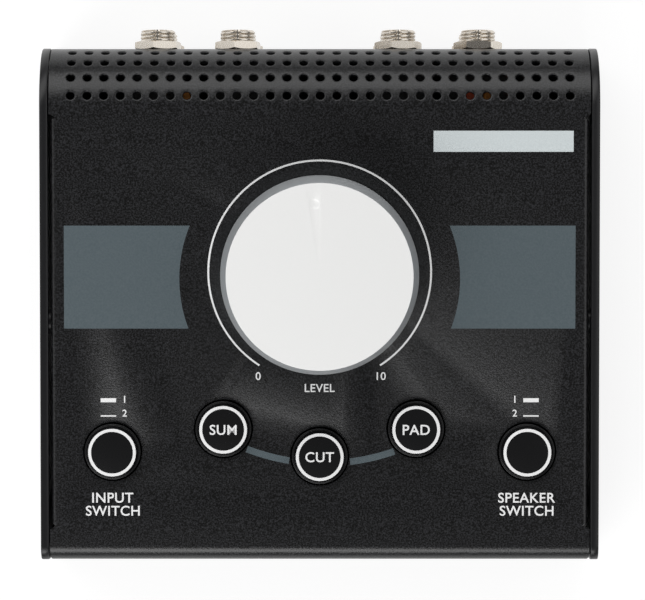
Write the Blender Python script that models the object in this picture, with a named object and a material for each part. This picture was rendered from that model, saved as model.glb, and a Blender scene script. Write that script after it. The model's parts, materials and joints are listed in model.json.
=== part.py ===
"""Studio monitor controller: a sloped desktop box with a large volume knob.

Frame: +X right, +Y to the rear, +Z up, origin on the table under the middle of the
bounding box. The user sits on the -Y side. Lengths are in metres.
"""

import math

import bmesh
import bpy
from mathutils import Matrix, Vector

MM = 0.001

# Clearances
SEAT_GAP = 0.3 * MM          # between pieces that touch on the real object
OVERRUN = 1.0 * MM           # how far a cutter runs past what it cuts

# How many flat sides round shapes get, and where shading turns sharp
KNOB_SEGMENTS = 40
HOLE_SEGMENTS = 24           # button holes
BUTTON_SEGMENTS = 20         # caps and feet
ROUND_SEGMENTS = 16
SMALL_SEGMENTS = 12          # shafts, bores and screws
PIN_SEGMENTS = 8
SHARP_ANGLE = math.radians(35)

# Case
CASE_WIDTH = 150.0 * MM      # over both cheeks
CASE_DEPTH = 138.2 * MM      # cheeks, front to rear
CROWN_HEIGHT = 45.2 * MM     # top of the cover, where the rear shoulder starts
PANEL_SLOPE = math.radians(3.0)
SHOULDER_RADIUS = 15.6 * MM
FRONT_RADIUS = 4.0 * MM
SHEET = 1.2 * MM             # cover and bottom plate
CHEEK_THICKNESS = 2.2 * MM
CHEEK_PROUD = 0.1 * MM       # cheeks stand above the cover by this
CHEEK_EDGE_RADIUS = 0.45 * MM
CHEEK_EDGE_STEPS = 2
SHOULDER_STEPS = 14
FRONT_STEPS = 5

# Flanges of the cover and the bottom plate, with their bend-relief notches
FLANGE_SET_IN = 0.8 * MM
FLANGE_BEND_RADIUS = 1.3 * MM
FLANGE_DROP = 9.0 * MM
FLANGE_STEPS = 3
REAR_NOTCH_SETBACK = 1.95 * MM    # from the end of the panel to the notch's corner
FRONT_NOTCH_SETBACK = 4.4 * MM
NOTCH_TIP = 0.2 * MM         # width at the notch's inner end
NOTCH_SLANT = 1.0 * MM       # how far the notch's outer side leans back
FLANGE_SLANT = 1.1 * MM      # the same of the flange's corner, over its bend
LIP_SET_IN = 0.6 * MM        # how much narrower each side of the front lip is

# Vents on the shoulder
VENT_COLUMNS = 31
VENT_ROWS = 5
VENT_SIDES = 8
VENT_RADIUS = 1.2 * MM
VENT_SIDE_MARGIN = 3.45 * MM
VENT_TOP_MARGIN = 0.15 * MM
VENT_DROP = 0.98 * MM        # the lowest row's cells start this far below the bend

# Feet
FOOT_HEIGHT = 2.5 * MM
FOOT_RADIUS = 5.0 * MM
FOOT_CHAMFER = 0.5 * MM
FOOT_INSET = 12.0 * MM

# Cheek screws, countersunk M3
SCREW_RADIUS = 1.5 * MM
SCREW_HEAD_RADIUS = 2.75 * MM
SCREW_HEAD_DEPTH = 1.25 * MM
SCREW_LENGTH = 7.0 * MM
SCREW_INSET = 14.0 * MM      # from the ends of the flanges
BOSS_RADIUS = 3.4 * MM       # raised ring of the cheek round each screw

# Where the controls sit, from the knob's axis, along the panel
KNOB_Y = 5.34 * MM
BUTTON_ARC_RADIUS = 49.15 * MM
BUTTON_ARC_ANGLE = math.radians(31.72)
SELECT_BUTTON_INSET = 19.4 * MM   # from the case's side
SELECT_BUTTON_BACK = 47.94 * MM

# Volume knob; heights are above the panel
KNOB_RADIUS = 26.3 * MM
KNOB_FACE_RADIUS = 24.6 * MM
KNOB_FLOAT = 1.0 * MM
KNOB_SHOULDER = 13.0 * MM
KNOB_HEIGHT = 22.0 * MM
KNOB_EDGE = 0.3 * MM
KNOB_WALL = 3.6 * MM
KNOB_ROOF = 4.5 * MM
HUB_RADIUS = 8.5 * MM
INSERT_WALL = 1.2 * MM
DIMPLE_RADIUS = 1.4 * MM
DIMPLE_DEPTH = 0.3 * MM
DIMPLE_OFFSET = 19.1 * MM
DIMPLE_ANGLE = math.radians(4.1)   # counter-clockwise from straight back

# Potentiometer; drops are below the panel's outer face
SHAFT_RADIUS = 3.0 * MM
POT_THREAD_RADIUS = 4.7 * MM
POT_THREAD_TOP = 5.0 * MM
POT_COLLAR_RADIUS = 6.5 * MM
POT_COLLAR_THICKNESS = 1.0 * MM
POT_WASHER_RADIUS = 7.5 * MM
POT_WASHER_THICKNESS = 0.6 * MM
POT_NUT_FLATS = 13.0 * MM
POT_NUT_THICKNESS = 2.0 * MM
POT_SIDE = 18.0 * MM
POT_FRONT_WALL = 1.5 * MM
POT_LENGTH = 22.0 * MM
POT_CAVITY_RADIUS = 7.2 * MM
POT_GANGS = 4
ROTOR_RADIUS = 6.2 * MM
ROTOR_DISC = 1.2 * MM
WAFER_THICKNESS = 1.0 * MM
TERMINALS_PER_GANG = 3
TERMINAL_WIDTH = 0.8 * MM
TERMINAL_THICKNESS = 0.5 * MM
JOIN_DEPTH = 0.2 * MM        # how far a piece that is joined to another reaches into it

# Push buttons and their switches
BUTTON_TOP = 3.0 * MM
BUTTON_TOP_RADIUS = 6.45 * MM
BUTTON_RADIUS = 7.5 * MM
BUTTON_SKIRT = 4.0 * MM
BUTTON_WALL = 1.1 * MM
BUTTON_ROOF = 2.0 * MM
BUTTON_FLARE_FOOT = 0.2 * MM
BUTTON_HOLE_CLEARANCE = 0.4 * MM
SOCKET_WALL = 1.0 * MM
SOCKET_DROP = 3.0 * MM
SOCKET_DEPTH = 3.4 * MM
PLUNGER_RADIUS = 1.6 * MM
PLUNGER_REACH = 8.6 * MM
SWITCH_SIDE = 8.0 * MM
SWITCH_TOP_DROP = 5.5 * MM
SWITCH_FLOOR = 0.5 * MM
SPRING_WIRE = 0.2 * MM
SPRING_TURNS = 3
SPRING_POINTS_PER_TURN = 7

# Control board, hung under the panel
BOARD_DROP = 14.0 * MM
BOARD_THICKNESS = 1.6 * MM
BOARD_SIDE_MARGIN = 4.0 * MM
BOARD_FRONT_MARGIN = 8.0 * MM
BOARD_REAR = 18.0 * MM
STANDOFF_RADIUS = 2.6 * MM
STANDOFF_SIDE_INSET = 5.0 * MM
STANDOFF_END_INSET = 6.0 * MM
STANDOFF_FRONT_Y = -30.0 * MM
STANDOFF_PIN_RADIUS = 1.3 * MM
STANDOFF_PIN_LENGTH = 3.0 * MM
RESISTOR_RADIUS = 1.2 * MM
RESISTOR_LENGTH = 6.3 * MM
RESISTOR_COLUMNS = 4
RESISTOR_ROWS = 2
RESISTOR_PITCH_X = 14.0 * MM
RESISTOR_PITCH_Y = 8.0 * MM
RESISTOR_BACK = 18.0 * MM

# Quarter-inch jacks on the rear panel
JACK_INSET = 31.3 * MM       # the outermost jack's axis, from the case's side
JACK_PITCH = 21.8 * MM
JACK_OFFSET = -0.5 * MM      # the whole row sits this far off the middle
JACK_ROW_PITCH = 13.0 * MM
JACK_PROTRUSION = 5.4 * MM   # thread ends this far behind the cheeks
JACK_BORE_RADIUS = 3.3 * MM
JACK_THREAD_RADIUS = 4.75 * MM
JACK_BODY_WIDTH = 15.8 * MM
JACK_BODY_HEIGHT = 11.2 * MM
JACK_BODY_LENGTH = 27.0 * MM
JACK_END_WALL = 1.5 * MM
JACK_NUT_FLATS = 11.5 * MM
JACK_NUT_THICKNESS = 2.1 * MM
JACK_NUT_TURNS = (21.0, 23.0, 13.0, 0.0)   # degrees, upper row from the left
JACK_LOWER_NUT_TURN = 0.0
JACK_PIN_LENGTH = 2.0 * MM
JACK_PIN_THICKNESS = 0.8 * MM
JACK_PIN_SPREAD = 4.0 * MM
JACK_BOARD_MARGIN = 3.0 * MM

# Ribbon between the boards
RIBBON_INSET = 40.0 * MM     # its middle, from the case's side
RIBBON_WIDTH = 20.0 * MM
RIBBON_THICKNESS = 0.9 * MM
RIBBON_STIFFNESS = 8.0 * MM
RIBBON_STEPS = 10
HEADER_WIDTH = 22.0 * MM
HEADER_SIDE = 5.0 * MM
HEADER_HEIGHT = 5.0 * MM
JACK_HEADER_Z = 12.5 * MM
CONTROL_HEADER_Y = 8.0 * MM

# Places that follow from the sizes above
SIN = math.sin(PANEL_SLOPE)
COS = math.cos(PANEL_SLOPE)
CASE_REAR = (CASE_DEPTH - JACK_PROTRUSION) / 2
CASE_FRONT = CASE_REAR - CASE_DEPTH
COVER_REAR = CASE_REAR - CHEEK_PROUD
COVER_FRONT = CASE_FRONT + CHEEK_PROUD
PLATE_BOTTOM = FOOT_HEIGHT + SEAT_GAP
PLATE_TOP = PLATE_BOTTOM + SHEET
CHEEK_INNER_X = CASE_WIDTH / 2 - CHEEK_THICKNESS
COVER_EDGE_X = CHEEK_INNER_X - SEAT_GAP
FLANGE_X = COVER_EDGE_X - FLANGE_SET_IN
BEND_X = FLANGE_X - FLANGE_BEND_RADIUS

# Centres of the two bends of the cover, seen from the side
SHOULDER_Y = COVER_REAR - SHOULDER_RADIUS
SHOULDER_Z = CROWN_HEIGHT - SHOULDER_RADIUS
FRONT_Y = COVER_FRONT + FRONT_RADIUS
FRONT_Z = SHOULDER_Z + (SHOULDER_RADIUS - FRONT_RADIUS + (FRONT_Y - SHOULDER_Y) * SIN) / COS

# Lengths along the cover's outer face, from the foot of the shoulder bend
REAR_FOOT = PLATE_BOTTOM - SHOULDER_Z
PANEL_START = SHOULDER_RADIUS * (math.pi / 2 + PANEL_SLOPE)
PANEL_LENGTH = (SHOULDER_Y - FRONT_Y) * COS + (SHOULDER_Z - FRONT_Z) * SIN
PANEL_END = PANEL_START + PANEL_LENGTH
LIP_START = PANEL_END + FRONT_RADIUS * (math.pi / 2 - PANEL_SLOPE)
LIP_FOOT = LIP_START + FRONT_Z - PLATE_BOTTOM
FLANGE_START = PANEL_START + REAR_NOTCH_SETBACK + NOTCH_SLANT + NOTCH_TIP
FLANGE_END = PANEL_END - FRONT_NOTCH_SETBACK - NOTCH_SLANT - NOTCH_TIP

VENT_PITCH_X = 2 * (COVER_EDGE_X - VENT_SIDE_MARGIN) / VENT_COLUMNS
VENT_PITCH = (PANEL_START + VENT_DROP - VENT_TOP_MARGIN) / VENT_ROWS

KNOB_Z = SHOULDER_Z + SHOULDER_RADIUS / COS + (KNOB_Y - SHOULDER_Y) * math.tan(PANEL_SLOPE)
BUTTON_HOLE_RADIUS = BUTTON_RADIUS + BUTTON_HOLE_CLEARANCE
SELECT_BUTTON_X = CASE_WIDTH / 2 - SELECT_BUTTON_INSET
BUTTON_PLACES = {
    "source": (-SELECT_BUTTON_X, -SELECT_BUTTON_BACK),
    "mono": (-BUTTON_ARC_RADIUS * math.sin(BUTTON_ARC_ANGLE),
             -BUTTON_ARC_RADIUS * math.cos(BUTTON_ARC_ANGLE)),
    "mute": (0.0, -BUTTON_ARC_RADIUS),
    "dim": (BUTTON_ARC_RADIUS * math.sin(BUTTON_ARC_ANGLE),
            -BUTTON_ARC_RADIUS * math.cos(BUTTON_ARC_ANGLE)),
    "monitor": (SELECT_BUTTON_X, -SELECT_BUTTON_BACK),
}

JACK_MOUTH = CASE_REAR + JACK_PROTRUSION
JACK_BODY_REAR = COVER_REAR - SHEET - SEAT_GAP
JACK_BODY_FRONT = JACK_BODY_REAR - JACK_BODY_LENGTH
JACK_LOWER_Z = PLATE_TOP + SEAT_GAP + JACK_BODY_HEIGHT / 2
JACK_UPPER_Z = JACK_LOWER_Z + JACK_ROW_PITCH
JACK_OUTER_X = CASE_WIDTH / 2 - JACK_INSET
JACK_COLUMNS = [JACK_OFFSET + side * (JACK_OUTER_X - step * JACK_PITCH)
                for side, step in ((-1, 0), (-1, 1), (1, 1), (1, 0))]
JACK_PLACES = [(x, z) for z in (JACK_UPPER_Z, JACK_LOWER_Z) for x in JACK_COLUMNS]
JACK_BOARD_REAR = JACK_BODY_FRONT - JACK_PIN_LENGTH - 2 * SEAT_GAP
JACK_BOARD_FRONT = JACK_BOARD_REAR - BOARD_THICKNESS
RIBBON_X = CASE_WIDTH / 2 - RIBBON_INSET

BOARD_HALF_WIDTH = BEND_X - BOARD_SIDE_MARGIN
BOARD_FRONT = -BUTTON_ARC_RADIUS - BOARD_FRONT_MARGIN
BOARD_BOTTOM = -BOARD_DROP - BOARD_THICKNESS
STANDOFF_PLACES = [(side * (BOARD_HALF_WIDTH - STANDOFF_SIDE_INSET), y)
                   for side in (-1, 1)
                   for y in (BOARD_REAR - STANDOFF_END_INSET, STANDOFF_FRONT_Y)]
POT_TOP = -SHEET - SEAT_GAP - POT_COLLAR_THICKNESS - SEAT_GAP

TO_REAR = Matrix.Rotation(-math.pi / 2, 4, "X")     # turns local +Z to +Y


# Scene helpers

def clear_scene():
    for item in list(bpy.data.objects):
        bpy.data.objects.remove(item)


def make_material(name, colour, roughness, metallic=0.0):
    material = bpy.data.materials.new(name)
    material.use_nodes = True
    shader = material.node_tree.nodes["Principled BSDF"]
    shader.inputs["Base Color"].default_value = (*colour, 1.0)
    shader.inputs["Roughness"].default_value = roughness
    shader.inputs["Metallic"].default_value = metallic
    material.diffuse_color = (*colour, 1.0)
    return material


def make_object(name, bm, material=None, parent=None):
    bmesh.ops.recalc_face_normals(bm, faces=bm.faces)
    mesh = bpy.data.meshes.new(name)
    bm.to_mesh(mesh)
    bm.free()
    if material:
        mesh.materials.append(material)
    item = bpy.data.objects.new(name, mesh)
    bpy.context.scene.collection.objects.link(item)
    item.parent = parent
    return item


def shade_round(item):
    item.data.shade_smooth()
    item.data.set_sharp_from_angle(angle=SHARP_ANGLE)


def make_cutter(name, bm, parent=None):
    cutter = make_object(name, bm, None, parent)
    cutter.hide_render = True
    cutter.display_type = "WIRE"
    return cutter


def cut(item, cutter):
    modifier = item.modifiers.new(cutter.name, "BOOLEAN")
    modifier.operation = "DIFFERENCE"
    modifier.solver = "EXACT"
    modifier.object = cutter


def join(item, helper):
    modifier = item.modifiers.new(helper.name, "BOOLEAN")
    modifier.operation = "UNION"
    modifier.solver = "EXACT"
    modifier.object = helper


def copies(first, places):
    """Puts one finished piece, by name, at each place, and removes the first one."""
    bpy.context.view_layer.update()
    graph = bpy.context.evaluated_depsgraph_get()
    mesh = bpy.data.meshes.new_from_object(first.evaluated_get(graph))
    for name, place in places.items():
        item = bpy.data.objects.new(name, mesh)
        item.matrix_world = place
        bpy.context.scene.collection.objects.link(item)
    bpy.data.objects.remove(first)


def round_edges(item, width, segments):
    modifier = item.modifiers.new("rounded edges", "BEVEL")
    modifier.width = width
    modifier.segments = segments
    modifier.limit_method = "ANGLE"
    modifier.angle_limit = SHARP_ANGLE


def panel_axis():
    """The empty on the knob's axis at the panel's outer face, +Z along its normal."""
    axis = bpy.data.objects.new("panel_axis", None)
    axis.location = (0.0, KNOB_Y, KNOB_Z)
    axis.rotation_euler = (PANEL_SLOPE, 0.0, 0.0)
    bpy.context.scene.collection.objects.link(axis)
    return axis


# Shape helpers

def add_box(bm, low, high, matrix=None):
    """A box between two corners."""
    low = Vector(low)
    high = Vector(high)
    place = Matrix.Translation((low + high) / 2) @ Matrix.Diagonal((*(high - low), 1.0))
    bmesh.ops.create_cube(bm, size=1.0, matrix=(matrix or Matrix()) @ place)


def add_turned(bm, outline, segments, matrix=None, closed=False):
    """A body turned about local Z from (radius, height) points.

    An open outline runs from axis to axis. A closed one is the section of a ring.
    """
    matrix = matrix or Matrix()
    rings = []
    for radius, height in outline:
        count = segments if radius > 0 else 1
        rings.append([bm.verts.new(matrix @ Vector((radius * math.cos(math.tau * k / segments),
                                                    radius * math.sin(math.tau * k / segments),
                                                    height)))
                      for k in range(count)])
    pairs = list(zip(rings, rings[1:]))
    if closed:
        pairs.append((rings[-1], rings[0]))
    for lower, upper in pairs:
        for k in range(segments):
            corners = [lower[k % len(lower)], lower[(k + 1) % len(lower)],
                       upper[(k + 1) % len(upper)], upper[k % len(upper)]]
            bm.faces.new(list(dict.fromkeys(corners)))


def add_rod(bm, radius, low, high, segments, matrix=None):
    add_turned(bm, [(0.0, low), (radius, low), (radius, high), (0.0, high)], segments, matrix)


def add_ring(bm, inner, outer, low, high, segments, matrix=None):
    outline = [(inner, low), (outer, low), (outer, high), (inner, high)]
    add_turned(bm, outline, segments, matrix, closed=True)


def add_prism(bm, outline, low, high, matrix=None):
    """A flat outline of (x, y) points, extruded along local Z."""
    matrix = matrix or Matrix()
    face = bm.faces.new([bm.verts.new(matrix @ Vector((x, y, low))) for x, y in outline])
    rise = matrix.to_3x3() @ Vector((0.0, 0.0, high - low))
    grown = bmesh.ops.extrude_face_region(bm, geom=[face], use_keep_orig=True)["geom"]
    bmesh.ops.translate(bm, vec=rise, verts=[v for v in grown if isinstance(v, bmesh.types.BMVert)])


def close_tube(bm, rings):
    """Faces between rings of vertices, and a cap on each end."""
    count = len(rings[0])
    for first, second in zip(rings, rings[1:]):
        for k in range(count):
            bm.faces.new([first[k], first[(k + 1) % count], second[(k + 1) % count], second[k]])
    bm.faces.new(rings[0])
    bm.faces.new(rings[-1])


def hexagon(flats):
    """The corners of a hexagon by its width over flats."""
    radius = flats / math.sqrt(3)
    angles = [k * math.pi / 3 for k in range(6)]
    return [(radius * math.cos(a), radius * math.sin(a)) for a in angles]


def at(x, y, z=0.0):
    return Matrix.Translation((x, y, z))


# The cover's sheet, drawn flat and then bent

def skin_point(s, depth):
    """The side view's (y, z) at length s along the outer face, depth below it."""
    if s <= 0:
        return COVER_REAR - depth, SHOULDER_Z + s
    if s <= PANEL_START:
        angle = s / SHOULDER_RADIUS
        reach = SHOULDER_RADIUS - depth
        return SHOULDER_Y + reach * math.cos(angle), SHOULDER_Z + reach * math.sin(angle)
    if s <= PANEL_END:
        reach = SHOULDER_RADIUS - depth
        along = s - PANEL_START
        return (SHOULDER_Y - reach * SIN - along * COS,
                SHOULDER_Z + reach * COS - along * SIN)
    if s <= LIP_START:
        angle = math.pi / 2 + PANEL_SLOPE + (s - PANEL_END) / FRONT_RADIUS
        reach = FRONT_RADIUS - depth
        return FRONT_Y + reach * math.cos(angle), FRONT_Z + reach * math.sin(angle)
    return COVER_FRONT + depth, FRONT_Z - (s - LIP_START)


def sheet_point(x, s, depth):
    """A point of the bent sheet. Beside the panel, x beyond BEND_X runs down the flange."""
    flange = abs(x) - BEND_X
    if flange > 0 and FLANGE_START <= s <= FLANGE_END:
        angle = min(flange / FLANGE_BEND_RADIUS, math.pi / 2)
        straight = max(flange - FLANGE_BEND_RADIUS * math.pi / 2, 0.0)
        reach = FLANGE_BEND_RADIUS - depth
        x = math.copysign(BEND_X + reach * math.sin(angle), x)
        depth = FLANGE_BEND_RADIUS - reach * math.cos(angle) + straight
    y, z = skin_point(s, depth)
    return Vector((x, y, z))


def thicken(bm, tiles):
    """Both faces of the flat tiles, and walls along every edge that one tile alone has."""
    corners = {}
    edges = {}

    def corner(point):
        key = (round(point[0], 7), round(point[1], 7))
        if key not in corners:
            corners[key] = [bm.verts.new(sheet_point(*point, depth)) for depth in (0.0, SHEET)]
        return key

    for tile in tiles:
        keys = [corner(point) for point in tile]
        bm.faces.new([corners[key][0] for key in keys])
        bm.faces.new([corners[key][1] for key in reversed(keys)])
        for first, second in zip(keys, keys[1:] + keys[:1]):
            edges.setdefault(frozenset((first, second)), []).append((first, second))
    for uses in edges.values():
        if len(uses) == 1:
            first, second = uses[0]
            bm.faces.new([corners[second][0], corners[first][0],
                          corners[first][1], corners[second][1]])


def vent_columns():
    """The x of the borders between the vent cells."""
    first = COVER_EDGE_X - VENT_SIDE_MARGIN
    return [-first + k * VENT_PITCH_X for k in range(VENT_COLUMNS + 1)]


def vent_cell(x, s):
    """The tiles round one vent hole, whose cell starts at x and s."""
    left, right = x, x + VENT_PITCH_X
    low, middle, high = s, s + VENT_PITCH / 2, s + VENT_PITCH
    hole = []
    for k in range(VENT_SIDES):
        angle = (k + 0.5) * math.tau / VENT_SIDES
        hole.append(((left + right) / 2 + VENT_RADIUS * math.cos(angle),
                     middle + VENT_RADIUS * math.sin(angle)))
    return [
        [(right, high), hole[1], hole[0]],
        [(right, high), (left, high), hole[2], hole[1]],
        [(left, high), hole[3], hole[2]],
        [(left, high), (left, middle), hole[3]],
        [(left, middle), hole[4], hole[3]],
        [(left, middle), (left, low), hole[4]],
        [(left, low), hole[5], hole[4]],
        [(left, low), (right, low), hole[6], hole[5]],
        [(right, low), hole[7], hole[6]],
        [(right, low), (right, middle), hole[7]],
        [(right, middle), hole[0], hole[7]],
        [(right, middle), (right, high), hole[0]],
    ]


def vent_tiles():
    columns = vent_columns()
    tiles = []
    for row in range(VENT_ROWS):
        low = -VENT_DROP + row * VENT_PITCH
        for x in columns[:-1]:
            tiles += vent_cell(x, low)
        for inner, outer in ((columns[0], -COVER_EDGE_X), (columns[-1], COVER_EDGE_X)):
            for start in (low, low + VENT_PITCH / 2):
                end = start + VENT_PITCH / 2
                tiles.append([(inner, start), (outer, start), (outer, end), (inner, end)])
    return tiles


def lip_edge_x(s):
    """Half the cover's width on the front bend, which narrows over its lower half."""
    middle = (PANEL_END + LIP_START) / 2
    share = min(max((s - middle) / (LIP_START - middle), 0.0), 1.0)
    return COVER_EDGE_X - LIP_SET_IN * share


def sheet_tiles():
    """The whole flat sheet: rear panel, vents, panel, flanges, front bend and lip."""
    edge = COVER_EDGE_X
    line = [-edge] + vent_columns() + [edge]
    vents_top = -VENT_DROP + VENT_ROWS * VENT_PITCH
    tiles = [[(edge, REAR_FOOT), (-edge, REAR_FOOT)] + [(x, -VENT_DROP) for x in line]]
    tiles += vent_tiles()
    tiles.append([(edge, PANEL_START), (-edge, PANEL_START)] + [(x, vents_top) for x in line])

    rear_tip = FLANGE_START - NOTCH_TIP
    front_tip = FLANGE_END + NOTCH_TIP
    side = [(edge, PANEL_START), (edge, rear_tip - NOTCH_SLANT), (BEND_X, rear_tip),
            (BEND_X, FLANGE_START), (BEND_X, FLANGE_END), (BEND_X, front_tip),
            (edge, front_tip + NOTCH_SLANT), (edge, PANEL_END)]
    tiles.append(side + [(-x, s) for x, s in reversed(side)])

    bend = FLANGE_BEND_RADIUS * math.pi / 2
    shares = [k / FLANGE_STEPS for k in range(FLANGE_STEPS + 1)]
    steps = [(BEND_X + bend * share, FLANGE_SLANT * share) for share in shares]
    steps.append((BEND_X + bend + FLANGE_DROP, FLANGE_SLANT))
    for (near, near_slant), (far, far_slant) in zip(steps, steps[1:]):
        for sign in (-1, 1):
            tiles.append([(sign * near, FLANGE_START + near_slant),
                          (sign * far, FLANGE_START + far_slant),
                          (sign * far, FLANGE_END - far_slant),
                          (sign * near, FLANGE_END - near_slant)])

    levels = [PANEL_END + (LIP_START - PANEL_END) * k / FRONT_STEPS for k in range(FRONT_STEPS + 1)]
    levels.append(LIP_FOOT)
    for start, end in zip(levels, levels[1:]):
        near = lip_edge_x(start)
        far = lip_edge_x(end)
        tiles.append([(-near, start), (near, start), (far, end), (-far, end)])
    return tiles


# Places of the cheek screws, seen from the side

def cheek_screw_places():
    """Name to (y, z): one screw in the cover's flange, two in the bottom plate's."""
    depth = FLANGE_BEND_RADIUS + FLANGE_DROP / 2
    upper = skin_point((FLANGE_START + FLANGE_END) / 2, depth)
    low = PLATE_TOP + FLANGE_DROP / 2
    return {"top": upper, "front": (COVER_FRONT + SCREW_INSET, low),
            "rear": (COVER_REAR - SCREW_INSET, low)}


def cheek_screw_matrices():
    """Name to matrix. Local +Z points out of the case at the cheek's outer face."""
    places = {}
    for side, word in ((-1, "left"), (1, "right")):
        turn = Matrix.Rotation(side * math.pi / 2, 4, "Y")
        for end, (y, z) in cheek_screw_places().items():
            places[f"{word}_screw_{end}"] = at(side * CASE_WIDTH / 2, y, z) @ turn
    return places


# Case

def make_screw_cutter():
    """Clearance for the cheek screws, through both cheeks and flanges."""
    bm = bmesh.new()
    head = SCREW_HEAD_RADIUS + SEAT_GAP
    shank = SCREW_RADIUS + SEAT_GAP
    for place in cheek_screw_matrices().values():
        add_turned(bm, [(0.0, -SCREW_LENGTH - OVERRUN), (shank, -SCREW_LENGTH - OVERRUN),
                        (shank, -SCREW_HEAD_DEPTH), (head, 0.0), (head, OVERRUN),
                        (0.0, OVERRUN)], SMALL_SEGMENTS, place)
    return make_cutter("cheek_screw_cutter", bm)


def make_top_cover(panel, screw_cutter, material):
    bm = bmesh.new()
    thicken(bm, sheet_tiles())
    cover = make_object("top_cover", bm, material)
    shade_round(cover)

    bm = bmesh.new()
    low = -SHEET - OVERRUN
    for x, y in BUTTON_PLACES.values():
        add_rod(bm, BUTTON_HOLE_RADIUS, low, OVERRUN, HOLE_SEGMENTS, at(x, y))
    add_rod(bm, POT_THREAD_RADIUS + SEAT_GAP, low, OVERRUN, ROUND_SEGMENTS)
    cut(cover, make_cutter("panel_hole_cutter", bm, panel))

    bm = bmesh.new()
    for x, z in JACK_PLACES:
        add_rod(bm, JACK_THREAD_RADIUS + SEAT_GAP, low, OVERRUN, ROUND_SEGMENTS,
                at(x, COVER_REAR, z) @ TO_REAR)
    cut(cover, make_cutter("rear_hole_cutter", bm))
    cut(cover, screw_cutter)
    join(cover, make_standoffs(panel))


def make_standoffs(panel):
    """The stepped studs pressed into the cover, which carry the control board."""
    outline = [(0.0, -BOARD_DROP - STANDOFF_PIN_LENGTH),
               (STANDOFF_PIN_RADIUS, -BOARD_DROP - STANDOFF_PIN_LENGTH),
               (STANDOFF_PIN_RADIUS, -BOARD_DROP + SEAT_GAP),
               (STANDOFF_RADIUS, -BOARD_DROP + SEAT_GAP),
               (STANDOFF_RADIUS, JOIN_DEPTH - SHEET), (0.0, JOIN_DEPTH - SHEET)]
    bm = bmesh.new()
    for x, y in STANDOFF_PLACES:
        add_turned(bm, outline, PIN_SEGMENTS, at(x, y))
    return make_cutter("standoff_studs", bm, panel)


def make_cheeks(screw_cutter, material):
    arcs = [k * PANEL_START / SHOULDER_STEPS for k in range(SHOULDER_STEPS + 1)]
    arcs += [PANEL_END + k * (LIP_START - PANEL_END) / FRONT_STEPS for k in range(FRONT_STEPS + 1)]
    outline = [skin_point(s, -CHEEK_PROUD) for s in arcs]
    outline += [(CASE_FRONT, PLATE_BOTTOM), (CASE_REAR, PLATE_BOTTOM)]
    stand = Matrix(((0, 0, 1, 0), (1, 0, 0, 0), (0, 1, 0, 0), (0, 0, 0, 1)))
    spans = {"left": (-CASE_WIDTH / 2, -CHEEK_INNER_X), "right": (CHEEK_INNER_X, CASE_WIDTH / 2)}
    boss_top = JOIN_DEPTH - CHEEK_THICKNESS
    boss_foot = FLANGE_X - CASE_WIDTH / 2 + SEAT_GAP
    for word, (low, high) in spans.items():
        bm = bmesh.new()
        add_prism(bm, outline, low, high, stand)
        cheek = make_object(word + "_cheek", bm, material)
        shade_round(cheek)
        round_edges(cheek, CHEEK_EDGE_RADIUS, CHEEK_EDGE_STEPS)
        bm = bmesh.new()
        for name, place in cheek_screw_matrices().items():
            if name.startswith(word):
                add_rod(bm, BOSS_RADIUS, boss_foot, boss_top, ROUND_SEGMENTS, place)
        join(cheek, make_cutter(word + "_cheek_bosses", bm))
        cut(cheek, screw_cutter)


def make_bottom_plate(screw_cutter, material):
    front = COVER_FRONT + SHEET + SEAT_GAP
    rear = COVER_REAR - SHEET - SEAT_GAP
    inner = FLANGE_X - SHEET
    top = PLATE_TOP + FLANGE_DROP
    side = [(FLANGE_X, PLATE_BOTTOM), (FLANGE_X, top), (inner, top), (inner, PLATE_TOP)]
    outline = side + [(-x, z) for x, z in reversed(side)]
    stand = Matrix(((1, 0, 0, 0), (0, 0, 1, 0), (0, 1, 0, 0), (0, 0, 0, 1)))
    bm = bmesh.new()
    add_prism(bm, outline, front, rear, stand)
    plate = make_object("bottom_plate", bm, material)
    cut(plate, screw_cutter)


def make_cheek_screws(material):
    outline = [(0.0, -SCREW_LENGTH), (SCREW_RADIUS, -SCREW_LENGTH),
               (SCREW_RADIUS, -SCREW_HEAD_DEPTH), (SCREW_HEAD_RADIUS, 0.0), (0.0, 0.0)]
    bm = bmesh.new()
    add_turned(bm, outline, SMALL_SEGMENTS)
    first = make_object("screw", bm, material)
    shade_round(first)
    copies(first, cheek_screw_matrices())


def make_feet(material):
    outline = [(0.0, 0.0), (FOOT_RADIUS - FOOT_CHAMFER, 0.0), (FOOT_RADIUS, FOOT_CHAMFER),
               (FOOT_RADIUS, FOOT_HEIGHT), (0.0, FOOT_HEIGHT)]
    bm = bmesh.new()
    add_turned(bm, outline, BUTTON_SEGMENTS)
    first = make_object("foot", bm, material)
    shade_round(first)
    x = FLANGE_X - FOOT_INSET
    front = COVER_FRONT + FOOT_INSET
    rear = COVER_REAR - FOOT_INSET
    copies(first, {"front_left_foot": at(-x, front), "front_right_foot": at(x, front),
                   "rear_left_foot": at(-x, rear), "rear_right_foot": at(x, rear)})


# Volume knob and its potentiometer

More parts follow.
